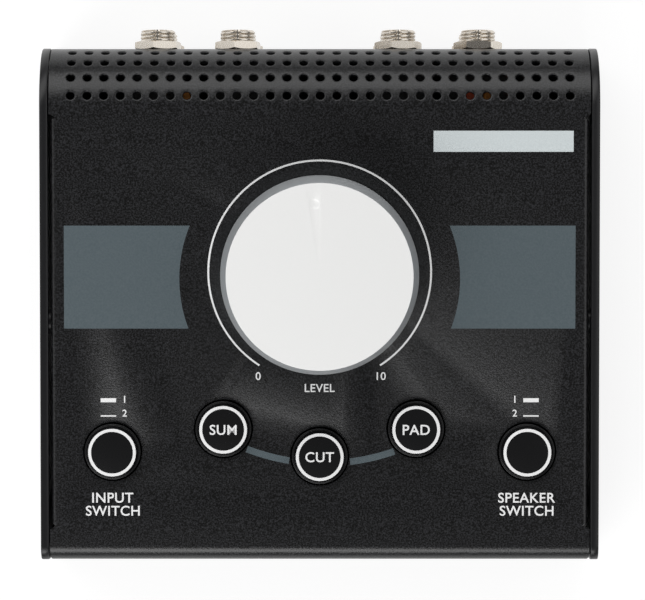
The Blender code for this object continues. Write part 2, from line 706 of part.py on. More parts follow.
def make_knob(panel, material):
    bore = SHAFT_RADIUS + INSERT_WALL + 2 * SEAT_GAP
    ceiling = KNOB_HEIGHT - KNOB_ROOF
    hub_foot = POT_THREAD_TOP + 2 * SEAT_GAP
    outline = [(0.0, KNOB_HEIGHT), (KNOB_FACE_RADIUS - KNOB_EDGE, KNOB_HEIGHT),
               (KNOB_FACE_RADIUS, KNOB_HEIGHT - KNOB_EDGE), (KNOB_RADIUS, KNOB_SHOULDER),
               (KNOB_RADIUS, KNOB_FLOAT), (KNOB_RADIUS - KNOB_WALL, KNOB_FLOAT),
               (KNOB_RADIUS - KNOB_WALL, KNOB_SHOULDER),
               (KNOB_FACE_RADIUS - KNOB_WALL, ceiling), (HUB_RADIUS, ceiling),
               (HUB_RADIUS, hub_foot), (bore, hub_foot), (bore, ceiling), (0.0, ceiling)]
    bm = bmesh.new()
    add_turned(bm, outline, KNOB_SEGMENTS)
    knob = make_object("volume_knob", bm, material, panel)
    shade_round(knob)

    ball = (DIMPLE_RADIUS ** 2 + DIMPLE_DEPTH ** 2) / (2 * DIMPLE_DEPTH)
    centre = at(-DIMPLE_OFFSET * math.sin(DIMPLE_ANGLE), DIMPLE_OFFSET * math.cos(DIMPLE_ANGLE),
                KNOB_HEIGHT - DIMPLE_DEPTH + ball)
    bm = bmesh.new()
    bmesh.ops.create_uvsphere(bm, u_segments=SMALL_SEGMENTS, v_segments=ROUND_SEGMENTS,
                              radius=ball, matrix=centre)
    cut(knob, make_cutter("dimple_cutter", bm, knob))


def make_knob_insert(panel, material):
    inner = SHAFT_RADIUS + SEAT_GAP
    low = POT_THREAD_TOP + 2 * SEAT_GAP
    high = KNOB_HEIGHT - KNOB_ROOF - SEAT_GAP
    bm = bmesh.new()
    add_ring(bm, inner, inner + INSERT_WALL, low, high, ROUND_SEGMENTS)
    shade_round(make_object("knob_insert", bm, material, panel))


def gang_pitch():
    return (POT_LENGTH - 2 * POT_FRONT_WALL) / POT_GANGS


def gang_levels():
    """The height of the middle of each gang of the potentiometer, from the top."""
    top = POT_TOP - POT_FRONT_WALL
    return [top - (k + 0.5) * gang_pitch() for k in range(POT_GANGS)]


def make_pot_shaft(panel, material):
    """The shaft, with a wiper disc in each gang."""
    low = POT_TOP - POT_LENGTH + POT_FRONT_WALL + SEAT_GAP
    high = KNOB_HEIGHT - KNOB_ROOF - 2 * SEAT_GAP
    outline = [(0.0, high), (SHAFT_RADIUS, high)]
    for level in gang_levels():
        top = level + ROTOR_DISC / 2
        bottom = level - ROTOR_DISC / 2
        outline += [(SHAFT_RADIUS, top), (ROTOR_RADIUS, top), (ROTOR_RADIUS, bottom),
                    (SHAFT_RADIUS, bottom)]
    outline += [(SHAFT_RADIUS, low), (0.0, low)]
    bm = bmesh.new()
    add_turned(bm, outline, SMALL_SEGMENTS)
    shade_round(make_object("pot_shaft", bm, material, panel))


def make_pot_housing(panel, material):
    """The four-gang case: a track ring stands between each wiper disc and the next."""
    half = POT_SIDE / 2
    bm = bmesh.new()
    add_box(bm, (-half, -half, POT_TOP - POT_LENGTH), (half, half, POT_TOP))
    housing = make_object("pot_housing", bm, material, panel)

    bore = SHAFT_RADIUS + SEAT_GAP
    outline = [(0.0, POT_TOP + OVERRUN), (bore, POT_TOP + OVERRUN),
               (bore, POT_TOP - POT_FRONT_WALL), (POT_CAVITY_RADIUS, POT_TOP - POT_FRONT_WALL)]
    for level in gang_levels()[:-1]:
        top = level - (gang_pitch() - WAFER_THICKNESS) / 2
        bottom = top - WAFER_THICKNESS
        outline += [(POT_CAVITY_RADIUS, top), (bore, top), (bore, bottom),
                    (POT_CAVITY_RADIUS, bottom)]
    floor = POT_TOP - POT_LENGTH + POT_FRONT_WALL
    outline += [(POT_CAVITY_RADIUS, floor), (0.0, floor)]
    bm = bmesh.new()
    add_turned(bm, outline, SMALL_SEGMENTS)
    cut(housing, make_cutter("pot_cavity_cutter", bm, panel))
    join(housing, make_pot_terminals(panel))


def make_pot_terminals(panel):
    """Three pins a gang, from the housing's sides down to the board."""
    bm = bmesh.new()
    per_side = POT_GANGS * TERMINALS_PER_GANG // 2
    pitch = POT_SIDE / (per_side + 1)
    inner = POT_SIDE / 2 - JOIN_DEPTH
    for side in (-1, 1):
        for k in range(per_side):
            x = -POT_SIDE / 2 + (k + 1) * pitch
            near, far = sorted((side * inner, side * (inner + TERMINAL_THICKNESS)))
            add_box(bm, (x - TERMINAL_WIDTH / 2, near, -BOARD_DROP + SEAT_GAP),
                    (x + TERMINAL_WIDTH / 2, far, POT_TOP - POT_FRONT_WALL))
    return make_cutter("pot_terminals", bm, panel)


def make_pot_bushing(panel, material):
    inner = SHAFT_RADIUS + SEAT_GAP
    collar_top = -SHEET - SEAT_GAP
    collar_foot = collar_top - POT_COLLAR_THICKNESS
    outline = [(inner, collar_foot), (POT_COLLAR_RADIUS, collar_foot),
               (POT_COLLAR_RADIUS, collar_top), (POT_THREAD_RADIUS, collar_top),
               (POT_THREAD_RADIUS, POT_THREAD_TOP), (inner, POT_THREAD_TOP)]
    bm = bmesh.new()
    add_turned(bm, outline, ROUND_SEGMENTS, closed=True)
    shade_round(make_object("pot_bushing", bm, material, panel))


def make_pot_fixings(panel, material):
    bore = POT_THREAD_RADIUS + SEAT_GAP
    bm = bmesh.new()
    add_ring(bm, bore, POT_WASHER_RADIUS, SEAT_GAP, SEAT_GAP + POT_WASHER_THICKNESS,
             ROUND_SEGMENTS)
    shade_round(make_object("pot_washer", bm, material, panel))

    low = 2 * SEAT_GAP + POT_WASHER_THICKNESS
    high = low + POT_NUT_THICKNESS
    bm = bmesh.new()
    add_prism(bm, hexagon(POT_NUT_FLATS), low, high)
    nut = make_object("pot_nut", bm, material, panel)
    bm = bmesh.new()
    add_rod(bm, bore, low - OVERRUN, high + OVERRUN, ROUND_SEGMENTS)
    cut(nut, make_cutter("pot_nut_cutter", bm, panel))


# Push buttons

def make_button_cap(name, axis, material):
    inner = BUTTON_RADIUS - BUTTON_WALL
    ceiling = BUTTON_TOP - BUTTON_ROOF
    bore = PLUNGER_RADIUS + SEAT_GAP
    outline = [(0.0, BUTTON_TOP), (BUTTON_TOP_RADIUS, BUTTON_TOP),
               (BUTTON_RADIUS, BUTTON_FLARE_FOOT), (BUTTON_RADIUS, -BUTTON_SKIRT),
               (inner, -BUTTON_SKIRT), (inner, ceiling), (bore + SOCKET_WALL, ceiling),
               (bore + SOCKET_WALL, -SOCKET_DROP), (bore, -SOCKET_DROP),
               (bore, SOCKET_DEPTH - SOCKET_DROP), (0.0, SOCKET_DEPTH - SOCKET_DROP)]
    bm = bmesh.new()
    add_turned(bm, outline, BUTTON_SEGMENTS)
    shade_round(make_object(name + "_button", bm, material, axis))


def make_plunger(name, axis, material):
    bm = bmesh.new()
    add_rod(bm, PLUNGER_RADIUS, -PLUNGER_REACH, SOCKET_DEPTH - SOCKET_DROP - SEAT_GAP,
            SMALL_SEGMENTS)
    shade_round(make_object(name + "_plunger", bm, material, axis))


def make_spring(name, axis, material):
    """The return spring as one helical tube, between the switch's floor and the plunger."""
    radius = PLUNGER_RADIUS - SPRING_WIRE
    low = -BOARD_DROP + 2 * SEAT_GAP + SWITCH_FLOOR + SPRING_WIRE
    high = -PLUNGER_REACH - SEAT_GAP - SPRING_WIRE
    count = SPRING_TURNS * SPRING_POINTS_PER_TURN
    corners = [(SPRING_WIRE, 0.0), (0.0, SPRING_WIRE), (-SPRING_WIRE, 0.0), (0.0, -SPRING_WIRE)]
    bm = bmesh.new()
    rings = []
    for k in range(count + 1):
        angle = math.tau * k / SPRING_POINTS_PER_TURN
        height = low + (high - low) * k / count
        rings.append([bm.verts.new(((radius + out) * math.cos(angle),
                                    (radius + out) * math.sin(angle), height + up))
                      for out, up in corners])
    close_tube(bm, rings)
    make_object(name + "_spring", bm, material, axis)


def make_switch(name, axis, material):
    half = SWITCH_SIDE / 2
    foot = -BOARD_DROP + SEAT_GAP
    bm = bmesh.new()
    add_box(bm, (-half, -half, foot), (half, half, -SWITCH_TOP_DROP))
    body = make_object(name + "_switch", bm, material, axis)
    bm = bmesh.new()
    add_rod(bm, PLUNGER_RADIUS + SEAT_GAP, foot + SWITCH_FLOOR, OVERRUN - SWITCH_TOP_DROP,
            SMALL_SEGMENTS)
    cut(body, make_cutter(name + "_switch_cutter", bm, axis))


def make_buttons(panel, materials):
    for name, (x, y) in BUTTON_PLACES.items():
        axis = bpy.data.objects.new(name + "_axis", None)
        axis.location = (x, y, 0.0)
        axis.parent = panel
        bpy.context.scene.collection.objects.link(axis)
        make_button_cap(name, axis, materials["cap"])
        make_plunger(name, axis, materials["plunger"])
        make_spring(name, axis, materials["steel"])
        make_switch(name, axis, materials["switch"])


# Boards

def make_control_board(panel, material):
    """The board under the controls, with its resistors and ribbon header soldered on."""
    bm = bmesh.new()
    add_box(bm, (-BOARD_HALF_WIDTH, BOARD_FRONT, BOARD_BOTTOM),
            (BOARD_HALF_WIDTH, BOARD_REAR, -BOARD_DROP))
    board = make_object("control_board", bm, material, panel)

    bm = bmesh.new()
    half = POT_SIDE / 2 + SEAT_GAP
    low = BOARD_BOTTOM - OVERRUN
    high = -BOARD_DROP + OVERRUN
    add_box(bm, (-half, -half, low), (half, half, high))
    for x, y in STANDOFF_PLACES:
        add_rod(bm, STANDOFF_PIN_RADIUS + SEAT_GAP, low, high, PIN_SEGMENTS, at(x, y))
    cut(board, make_cutter("control_board_cutter", bm, panel))

    bm = bmesh.new()
    height = -BOARD_DROP + RESISTOR_RADIUS - JOIN_DEPTH
    lie = Matrix.Rotation(math.pi / 2, 4, "Y")
    for row in range(RESISTOR_ROWS):
        for column in range(RESISTOR_COLUMNS):
            x = (column - (RESISTOR_COLUMNS - 1) / 2) * RESISTOR_PITCH_X
            y = -RESISTOR_BACK - row * RESISTOR_PITCH_Y
            add_rod(bm, RESISTOR_RADIUS, -RESISTOR_LENGTH / 2, RESISTOR_LENGTH / 2, PIN_SEGMENTS,
                    at(x, y, height) @ lie)
    top = BOARD_BOTTOM + JOIN_DEPTH
    add_box(bm, (RIBBON_X - HEADER_WIDTH / 2, CONTROL_HEADER_Y - HEADER_SIDE / 2,
                 top - HEADER_HEIGHT),
            (RIBBON_X + HEADER_WIDTH / 2, CONTROL_HEADER_Y + HEADER_SIDE / 2, top))
    join(board, make_cutter("control_board_pieces", bm, panel))


def make_jack_board(material):
    """The upright board that the jacks are soldered to, with its ribbon header."""
    half = JACK_COLUMNS[-1] - JACK_OFFSET + JACK_BODY_WIDTH / 2 + JACK_BOARD_MARGIN
    bm = bmesh.new()
    add_box(bm, (JACK_OFFSET - half, JACK_BOARD_FRONT, PLATE_TOP + SEAT_GAP),
            (JACK_OFFSET + half, JACK_BOARD_REAR, JACK_UPPER_Z + JACK_BODY_HEIGHT / 2))
    board = make_object("jack_board", bm, material)
    rear = JACK_BOARD_FRONT + JOIN_DEPTH
    bm = bmesh.new()
    add_box(bm, (RIBBON_X - HEADER_WIDTH / 2, rear - HEADER_HEIGHT, JACK_HEADER_Z - HEADER_SIDE / 2),
            (RIBBON_X + HEADER_WIDTH / 2, rear, JACK_HEADER_Z + HEADER_SIDE / 2))
    join(board, make_cutter("jack_board_header", bm))


def make_ribbon(material):
    """Flat cable from the jack board's front to the control board's underside."""
    tilt = at(0.0, KNOB_Y, KNOB_Z) @ Matrix.Rotation(PANEL_SLOPE, 4, "X")
    plug = HEADER_HEIGHT - JOIN_DEPTH + SEAT_GAP
    start = Vector((RIBBON_X, JACK_BOARD_FRONT - plug, JACK_HEADER_Z))
    end = tilt @ Vector((RIBBON_X, CONTROL_HEADER_Y, BOARD_BOTTOM - plug))
    up = tilt.to_3x3() @ Vector((0.0, 0.0, RIBBON_STIFFNESS))
    handles = [start, start - Vector((0.0, RIBBON_STIFFNESS, 0.0)), end - up, end]
    across = Vector((RIBBON_WIDTH / 2, 0.0, 0.0))
    bm = bmesh.new()
    rings = []
    for k in range(RIBBON_STEPS + 1):
        t = k / RIBBON_STEPS
        weights = ((1 - t) ** 3, 3 * t * (1 - t) ** 2, 3 * t * t * (1 - t), t ** 3)
        point = sum((w * p for w, p in zip(weights, handles)), Vector())
        slopes = ((1 - t) ** 2, 2 * t * (1 - t), t * t)
        along = sum((w * (q - p) for w, p, q in zip(slopes, handles, handles[1:])), Vector())
        out = along.cross(across).normalized() * RIBBON_THICKNESS / 2
        rings.append([bm.verts.new(point + side + face) for side, face in
                      ((across, out), (across, -out), (-across, -out), (-across, out))])
    close_tube(bm, rings)
    make_object("ribbon_cable", bm, material)


# Jacks

def make_jacks(material):
    """Each jack is one bought piece: case, threaded nose and solder pins."""
    half_width = JACK_BODY_WIDTH / 2
    half_height = JACK_BODY_HEIGHT / 2
    bm = bmesh.new()
    add_box(bm, (-half_width, -half_height, -JACK_BODY_LENGTH), (half_width, half_height, 0.0))
    first = make_object("jack", bm, material)
    shade_round(first)

    bm = bmesh.new()
    add_rod(bm, JACK_THREAD_RADIUS, -JOIN_DEPTH, JACK_MOUTH - JACK_BODY_REAR, ROUND_SEGMENTS)
    half = JACK_PIN_THICKNESS / 2
    pin_foot = -JACK_BODY_LENGTH - JACK_PIN_LENGTH
    for x in (-JACK_PIN_SPREAD, 0.0, JACK_PIN_SPREAD):
        add_box(bm, (x - half, -half, pin_foot), (x + half, half, JOIN_DEPTH - JACK_BODY_LENGTH))
    join(first, make_cutter("jack_nose_and_pins", bm))

    bm = bmesh.new()
    add_rod(bm, JACK_BORE_RADIUS, JACK_END_WALL - JACK_BODY_LENGTH,
            JACK_MOUTH - JACK_BODY_REAR + OVERRUN, SMALL_SEGMENTS)
    cut(first, make_cutter("jack_bore_cutter", bm))
    copies(first, {f"jack_{number}": at(x, JACK_BODY_REAR, z) @ TO_REAR
                   for number, (x, z) in enumerate(JACK_PLACES, start=1)})


def make_jack_nuts(material):
    high = SEAT_GAP + JACK_NUT_THICKNESS
    bm = bmesh.new()
    add_prism(bm, hexagon(JACK_NUT_FLATS), SEAT_GAP, high)
    first = make_object("nut", bm, material)
    bm = bmesh.new()
    add_rod(bm, JACK_THREAD_RADIUS + SEAT_GAP, SEAT_GAP - OVERRUN, high + OVERRUN,
            ROUND_SEGMENTS)
    cut(first, make_cutter("jack_nut_cutter", bm))
    places = {}
    turns = list(JACK_NUT_TURNS) + [JACK_LOWER_NUT_TURN] * len(JACK_COLUMNS)
    for number, ((x, z), turn) in enumerate(zip(JACK_PLACES, turns), start=1):
        spin = Matrix.Rotation(math.radians(turn), 4, "Z")
        places[f"jack_{number}_nut"] = at(x, COVER_REAR, z) @ TO_REAR @ spin
    copies(first, places)


def build():
    clear_scene()
    black_coat = make_material("black_coat", (0.016, 0.016, 0.018), 0.55, 0.2)
    nickel = make_material("nickel", (0.62, 0.58, 0.52), 0.28, 1.0)
    steel = make_material("steel", (0.55, 0.55, 0.56), 0.35, 1.0)
    board_green = make_material("board_green", (0.02, 0.12, 0.05), 0.5)

    panel = panel_axis()
    screw_cutter = make_screw_cutter()
    make_top_cover(panel, screw_cutter, black_coat)
    make_cheeks(screw_cutter, make_material("cheek_coat", (0.012, 0.012, 0.014), 0.4, 0.3))
    make_bottom_plate(screw_cutter, make_material("plate_coat", (0.018, 0.018, 0.02), 0.6, 0.2))
    make_cheek_screws(make_material("black_steel", (0.03, 0.03, 0.032), 0.4, 0.9))
    make_feet(make_material("foot_rubber", (0.02, 0.02, 0.02), 0.85))

    make_knob(panel, make_material("knob_aluminium", (0.86, 0.87, 0.89), 0.3, 1.0))
    make_knob_insert(panel, make_material("insert_plastic", (0.05, 0.05, 0.055), 0.5))
    make_pot_shaft(panel, make_material("shaft_metal", (0.6, 0.6, 0.62), 0.3, 1.0))
    make_pot_housing(panel, make_material("pot_case", (0.1, 0.1, 0.11), 0.4, 0.6))
    make_pot_bushing(panel, make_material("brass", (0.72, 0.55, 0.25), 0.35, 1.0))
    make_pot_fixings(panel, steel)

    make_buttons(panel, {
        "cap": make_material("button_plastic", (0.02, 0.02, 0.022), 0.35),
        "plunger": make_material("plunger_plastic", (0.8, 0.8, 0.78), 0.5),
        "steel": steel,
        "switch": make_material("switch_plastic", (0.06, 0.06, 0.065), 0.5),
    })

    make_control_board(panel, board_green)
    make_jack_board(board_green)
    make_ribbon(make_material("ribbon_grey", (0.4, 0.4, 0.42), 0.6))
    make_jacks(nickel)
    make_jack_nuts(nickel)


build()
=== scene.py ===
"""Looks of the studio monitor controller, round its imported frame. Metres, +Z up."""

import json
import math

import bmesh
import bpy
from mathutils import Matrix, Vector


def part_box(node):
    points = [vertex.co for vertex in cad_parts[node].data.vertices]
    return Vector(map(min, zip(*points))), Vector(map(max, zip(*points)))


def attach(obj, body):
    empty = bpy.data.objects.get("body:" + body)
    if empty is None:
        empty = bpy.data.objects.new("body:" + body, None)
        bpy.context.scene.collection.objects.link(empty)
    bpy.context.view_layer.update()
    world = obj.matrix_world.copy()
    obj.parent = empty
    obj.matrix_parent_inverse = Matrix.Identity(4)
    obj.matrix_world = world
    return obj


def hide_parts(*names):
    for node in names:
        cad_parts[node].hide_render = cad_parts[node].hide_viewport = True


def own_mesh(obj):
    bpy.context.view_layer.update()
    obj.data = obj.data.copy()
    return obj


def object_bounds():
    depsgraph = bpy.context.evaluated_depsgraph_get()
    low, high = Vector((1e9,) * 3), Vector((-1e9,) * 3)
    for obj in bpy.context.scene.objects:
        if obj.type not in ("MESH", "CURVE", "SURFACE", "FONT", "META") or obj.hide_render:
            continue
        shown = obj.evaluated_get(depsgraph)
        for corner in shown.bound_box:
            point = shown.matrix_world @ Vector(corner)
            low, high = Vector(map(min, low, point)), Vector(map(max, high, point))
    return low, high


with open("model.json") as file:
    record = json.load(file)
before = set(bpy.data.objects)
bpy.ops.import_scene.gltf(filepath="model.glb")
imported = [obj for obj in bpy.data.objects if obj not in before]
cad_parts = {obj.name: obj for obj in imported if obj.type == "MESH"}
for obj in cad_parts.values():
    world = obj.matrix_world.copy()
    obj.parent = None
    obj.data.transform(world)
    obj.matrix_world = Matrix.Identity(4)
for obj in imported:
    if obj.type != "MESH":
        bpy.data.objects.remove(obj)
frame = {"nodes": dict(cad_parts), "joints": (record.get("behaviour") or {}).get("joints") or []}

cad_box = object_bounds()
MM = 0.001

# The panel's plane, from the knob's joint: +Z along its normal, origin on the knob's axis
knob_joint = next(joint for joint in frame["joints"] if joint["name"] == "volume_turn")
SLOPE = math.atan2(-knob_joint["axis"][1], knob_joint["axis"][2])
PANEL = Matrix.Translation(knob_joint["pos_m"]) @ Matrix.Rotation(SLOPE, 4, "X")
NORMAL = PANEL.to_3x3() @ Vector((0.0, 0.0, 1.0))
TO_REAR = Matrix.Rotation(-math.pi / 2, 4, "X")      # turns local +Z to +Y

BUTTONS = ("source", "mono", "mute", "dim", "monitor")
JACKS = range(1, 9)

# Cover sheet
SHEET = 1.2 * MM
SHOULDER_RADIUS = 15.6 * MM
FRONT_RADIUS = 4.0 * MM
CROWN_HEIGHT = 45.2 * MM
FLANGE_SET_IN = 0.5 * MM
FLANGE_BEND_RADIUS = 1.3 * MM
FLANGE_DROP = 9.0 * MM
FLANGE_STEPS = 8
REAR_NOTCH_SETBACK = 1.95 * MM
FRONT_NOTCH_SETBACK = 4.4 * MM
NOTCH_TIP = 0.2 * MM
NOTCH_SLANT = 1.0 * MM
FLANGE_SLANT = 1.1 * MM
LIP_SET_IN = 0.6 * MM
LIP_STEPS = 18
VENT_COLUMNS = 31
VENT_ROWS = 5
VENT_RADIUS = 1.1 * MM
VENT_SIDE_MARGIN = 3.45 * MM
VENT_TOP_MARGIN = 0.4 * MM
VENT_SHIFT = 0.14 * MM       # of the whole grid, to the right
VENT_DROP = 0.98 * MM
VENT_SPOKES = 24
BUTTON_HOLE_RADIUS = 7.9 * MM
EDGE = 0.12 * MM             # how far the coat rounds the sheet's cut edges
POT_HOLE_RADIUS = 5.0 * MM
STANDOFF_RADIUS = 2.6 * MM
STANDOFF_SIDE_INSET = 5.0 * MM
STANDOFF_END_INSET = 6.0 * MM
STANDOFF_FRONT_Y = -30.0 * MM
STANDOFF_PIN_RADIUS = 1.3 * MM
STANDOFF_PIN_PROUD = 1.4 * MM

cover_low, cover_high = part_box("top_cover")
COVER_EDGE_X = cover_high.x
COVER_REAR = cover_high.y
COVER_FRONT = cover_low.y
FLANGE_X = COVER_EDGE_X - FLANGE_SET_IN
BEND_X = FLANGE_X - FLANGE_BEND_RADIUS
SIN = math.sin(SLOPE)
COS = math.cos(SLOPE)
SHOULDER_Y = COVER_REAR - SHOULDER_RADIUS
SHOULDER_Z = CROWN_HEIGHT - SHOULDER_RADIUS
FRONT_Y = COVER_FRONT + FRONT_RADIUS
FRONT_Z = SHOULDER_Z + (SHOULDER_RADIUS - FRONT_RADIUS + (FRONT_Y - SHOULDER_Y) * SIN) / COS
REAR_FOOT = cover_low.z - SHOULDER_Z
PANEL_START = SHOULDER_RADIUS * (math.pi / 2 + SLOPE)
PANEL_END = PANEL_START + (SHOULDER_Y - FRONT_Y) * COS + (SHOULDER_Z - FRONT_Z) * SIN
LIP_START = PANEL_END + FRONT_RADIUS * (math.pi / 2 - SLOPE)
LIP_FOOT = LIP_START + FRONT_Z - cover_low.z
FLANGE_START = PANEL_START + REAR_NOTCH_SETBACK + NOTCH_SLANT + NOTCH_TIP
FLANGE_END = PANEL_END - FRONT_NOTCH_SETBACK - NOTCH_SLANT - NOTCH_TIP
VENT_PITCH_X = 2 * (COVER_EDGE_X - VENT_SIDE_MARGIN) / VENT_COLUMNS
VENT_PITCH = (PANEL_START + VENT_DROP - VENT_TOP_MARGIN) / VENT_ROWS


# Materials

NOISE_DETAIL = 2.0


def new_material(name):
    material = bpy.data.materials.new(name)
    material.use_nodes = True
    return material, material.node_tree.nodes, material.node_tree.links


def noise_of(nodes, links, scale, squeeze):
    """A noise's value, read in the object's own metres."""
    place = nodes.new("ShaderNodeTexCoord")
    mapping = nodes.new("ShaderNodeMapping")
    mapping.inputs["Scale"].default_value = squeeze
    noise = nodes.new("ShaderNodeTexNoise")
    noise.inputs["Scale"].default_value = scale
    noise.inputs["Detail"].default_value = NOISE_DETAIL
    links.new(place.outputs["Object"], mapping.inputs["Vector"])
    links.new(mapping.outputs["Vector"], noise.inputs["Vector"])
    return noise.outputs["Fac"]


def ramp_of(nodes, links, value, stops):
    """The value's colour between two stops, each a position and a colour."""
    ramp = nodes.new("ShaderNodeValToRGB")
    for element, (position, colour) in zip(ramp.color_ramp.elements, stops):
        element.position = position
        element.color = (*colour, 1.0)
    links.new(value, ramp.inputs["Fac"])
    return ramp.outputs["Color"]


def range_of(nodes, links, value, low, high):
    spread = nodes.new("ShaderNodeMapRange")
    spread.inputs["To Min"].default_value = low
    spread.inputs["To Max"].default_value = high
    links.new(value, spread.inputs["Value"])
    return spread.outputs["Result"]


def surface(name, dark, light, roughness, metallic=0.0, grain=0.4 * MM, depth=0.01 * MM,
            contrast=(0.3, 0.7), squeeze=(1.0, 1.0, 1.0), specular=0.5):
    """A material whose colour, roughness and relief vary with one fine grain."""
    material, nodes, links = new_material(name)
    shader = nodes["Principled BSDF"]
    value = noise_of(nodes, links, 1.0 / grain, squeeze)
    links.new(ramp_of(nodes, links, value, [(contrast[0], dark), (contrast[1], light)]),
              shader.inputs["Base Color"])
    links.new(range_of(nodes, links, value, roughness[0], roughness[1]),
              shader.inputs["Roughness"])
    shader.inputs["Metallic"].default_value = metallic
    shader.inputs["Specular IOR Level"].default_value = specular
    bump = nodes.new("ShaderNodeBump")
    bump.inputs["Distance"].default_value = depth
    links.new(value, bump.inputs["Height"])
    links.new(bump.outputs["Normal"], shader.inputs["Normal"])
    return material


def grey(value, tint=(1.0, 1.0, 1.0)):
    return tuple(value * share for share in tint)


COLD = (0.96, 0.98, 1.1)

black_coat = surface("black_coat", grey(0.0, COLD), grey(0.02, COLD), (0.24, 0.38),
                     grain=0.42 * MM, depth=0.045 * MM, contrast=(0.42, 0.66))
cheek_coat = surface("cheek_coat", grey(0.005, COLD), grey(0.01, COLD), (0.3, 0.38),
                     grain=0.3 * MM, depth=0.006 * MM, specular=0.4)
plate_coat = surface("plate_coat", grey(0.012), grey(0.022), (0.5, 0.65), grain=0.4 * MM)
black_steel = surface("black_steel", grey(0.02), grey(0.04), (0.3, 0.45), 1.0, grain=0.2 * MM,
                      depth=0.003 * MM)
foot_rubber = surface("foot_rubber", grey(0.012), grey(0.022), (0.75, 0.9), grain=0.25 * MM)
knob_satin = surface("knob_satin", grey(0.85, (1.0, 1.0, 0.99)), grey(0.88, (1.0, 1.0, 0.99)),
                     (0.4, 0.48), 0.1, grain=0.12 * MM, depth=0.001 * MM)
# Knob side wall: the same silver as the face, with a turned grain; its darker, bluish-grey colour
# is painted shade
knob_shaded_turned_wall = surface("knob_shaded_turned_wall", grey(0.55, (0.96, 1.0, 1.03)), grey(0.65, (0.96, 1.0, 1.03)),
                      (0.35, 0.45), 0.55, grain=0.25 * MM, depth=0.003 * MM,
                      squeeze=(0.1, 0.1, 1.0))
insert_plastic = surface("insert_plastic", grey(0.02), grey(0.04), (0.5, 0.6))
shaft_metal = surface("shaft_metal", grey(0.6), grey(0.75), (0.25, 0.4), 1.0,
                      squeeze=(1.0, 1.0, 0.05), depth=0.003 * MM)
pot_case = surface("pot_case", grey(0.05), grey(0.08), (0.4, 0.55), 0.4)
brass = surface("brass", (0.68, 0.5, 0.2), (0.8, 0.62, 0.3), (0.25, 0.4), 1.0, depth=0.004 * MM)
steel = surface("steel", grey(0.5), grey(0.7), (0.25, 0.4), 1.0, grain=0.3 * MM, depth=0.003 * MM)
button_plastic = surface("button_plastic", grey(0.003, COLD), grey(0.005, COLD), (0.24, 0.32),
                         grain=0.15 * MM, depth=0.002 * MM, specular=0.4)
plunger_plastic = surface("plunger_plastic", grey(0.65), grey(0.75), (0.45, 0.55))
switch_plastic = surface("switch_plastic", grey(0.02), grey(0.035), (0.45, 0.6))
board_green = surface("board_green", (0.01, 0.07, 0.03), (0.02, 0.11, 0.05), (0.35, 0.5),
                      grain=2.0 * MM)
ribbon_grey = surface("ribbon_grey", grey(0.3), grey(0.4), (0.5, 0.6), grain=1.27 * MM,
                      squeeze=(1.0, 0.02, 0.02), depth=0.1 * MM)
nickel = surface("nickel", (0.66, 0.6, 0.52), (0.78, 0.73, 0.66), (0.2, 0.32), 1.0,
                 grain=0.3 * MM, depth=0.002 * MM)
# Black plastic of the jack bodies and sleeves, made darker than the plastic itself: painted shade
# for the dark inside of the case seen through the vents
jack_black_and_shade = surface("jack_black_and_shade", grey(0.004), grey(0.007), (0.45, 0.6))
print_white = surface("print_white", grey(0.78), grey(0.86), (0.45, 0.55), grain=0.2 * MM,
                      depth=0.004 * MM)
print_slate = surface("print_slate", (0.066, 0.09, 0.102), (0.082, 0.106, 0.118), (0.4, 0.55),
                      grain=0.5 * MM, depth=0.02 * MM)
print_pale = surface("print_pale", (0.55, 0.6, 0.61), (0.62, 0.67, 0.68), (0.45, 0.55),
                     grain=0.32 * MM, depth=0.01 * MM)
film_orange = surface("film_orange", (0.34, 0.11, 0.01), (0.5, 0.2, 0.03), (0.3, 0.45),
                      grain=0.6 * MM)
film_red = surface("film_red", (0.4, 0.05, 0.015), (0.5, 0.08, 0.02), (0.3, 0.45), grain=0.6 * MM)

NODE_LOOKS = {
    "bottom_plate": plate_coat, "knob_insert": insert_plastic, "pot_shaft": shaft_metal,
    "pot_housing": pot_case, "pot_bushing": brass, "pot_washer": steel, "pot_nut": steel,
    "control_board": board_green, "jack_board": board_green, "ribbon_cable": ribbon_grey,
}
for name in BUTTONS:
    NODE_LOOKS[name + "_plunger"] = plunger_plastic
    NODE_LOOKS[name + "_switch"] = switch_plastic
for node, look in NODE_LOOKS.items():
    materials = frame["nodes"][node].data.materials
    materials.clear()
    materials.append(look)


# Shape helpers

SHARP_ANGLE = 35             # in degrees; edges between faces that turn further stay sharp


def at(x, y, z=0.0):
    return Matrix.Translation((x, y, z))


def new_object(name, data):
    """An object of that data, placed in the scene."""
    thing = bpy.data.objects.new(name, data)
    bpy.context.scene.collection.objects.link(thing)
    return thing


def add_box(bm, low, high, matrix=None):
    low = Vector(low)
    high = Vector(high)
    place = Matrix.Translation((low + high) / 2) @ Matrix.Diagonal((*(high - low), 1.0))
    bmesh.ops.create_cube(bm, size=1.0, matrix=(matrix or Matrix()) @ place)


def add_ring(bm, radius, height, segments, matrix):
    """Vertices in a circle about local Z, or a single one on the axis."""
    return [bm.verts.new(matrix @ Vector((radius * math.cos(math.tau * k / segments),
                                          radius * math.sin(math.tau * k / segments), height)))
            for k in range(segments if radius > 0 else 1)]


def add_turned(bm, outline, segments, matrix=None, closed=False):
    """A body turned about local Z from (radius, height) points."""
    rings = [add_ring(bm, radius, height, segments, matrix or Matrix())
             for radius, height in outline]
    pairs = list(zip(rings, rings[1:]))
    if closed:
        pairs.append((rings[-1], rings[0]))
    for lower, upper in pairs:
        for k in range(segments):
            corners = [lower[k % len(lower)], lower[(k + 1) % len(lower)],
                       upper[(k + 1) % len(upper)], upper[k % len(upper)]]
            bm.faces.new(list(dict.fromkeys(corners)))


def add_rod(bm, radius, low, high, segments, matrix=None):
    add_turned(bm, [(0.0, low), (radius, low), (radius, high), (0.0, high)], segments, matrix)


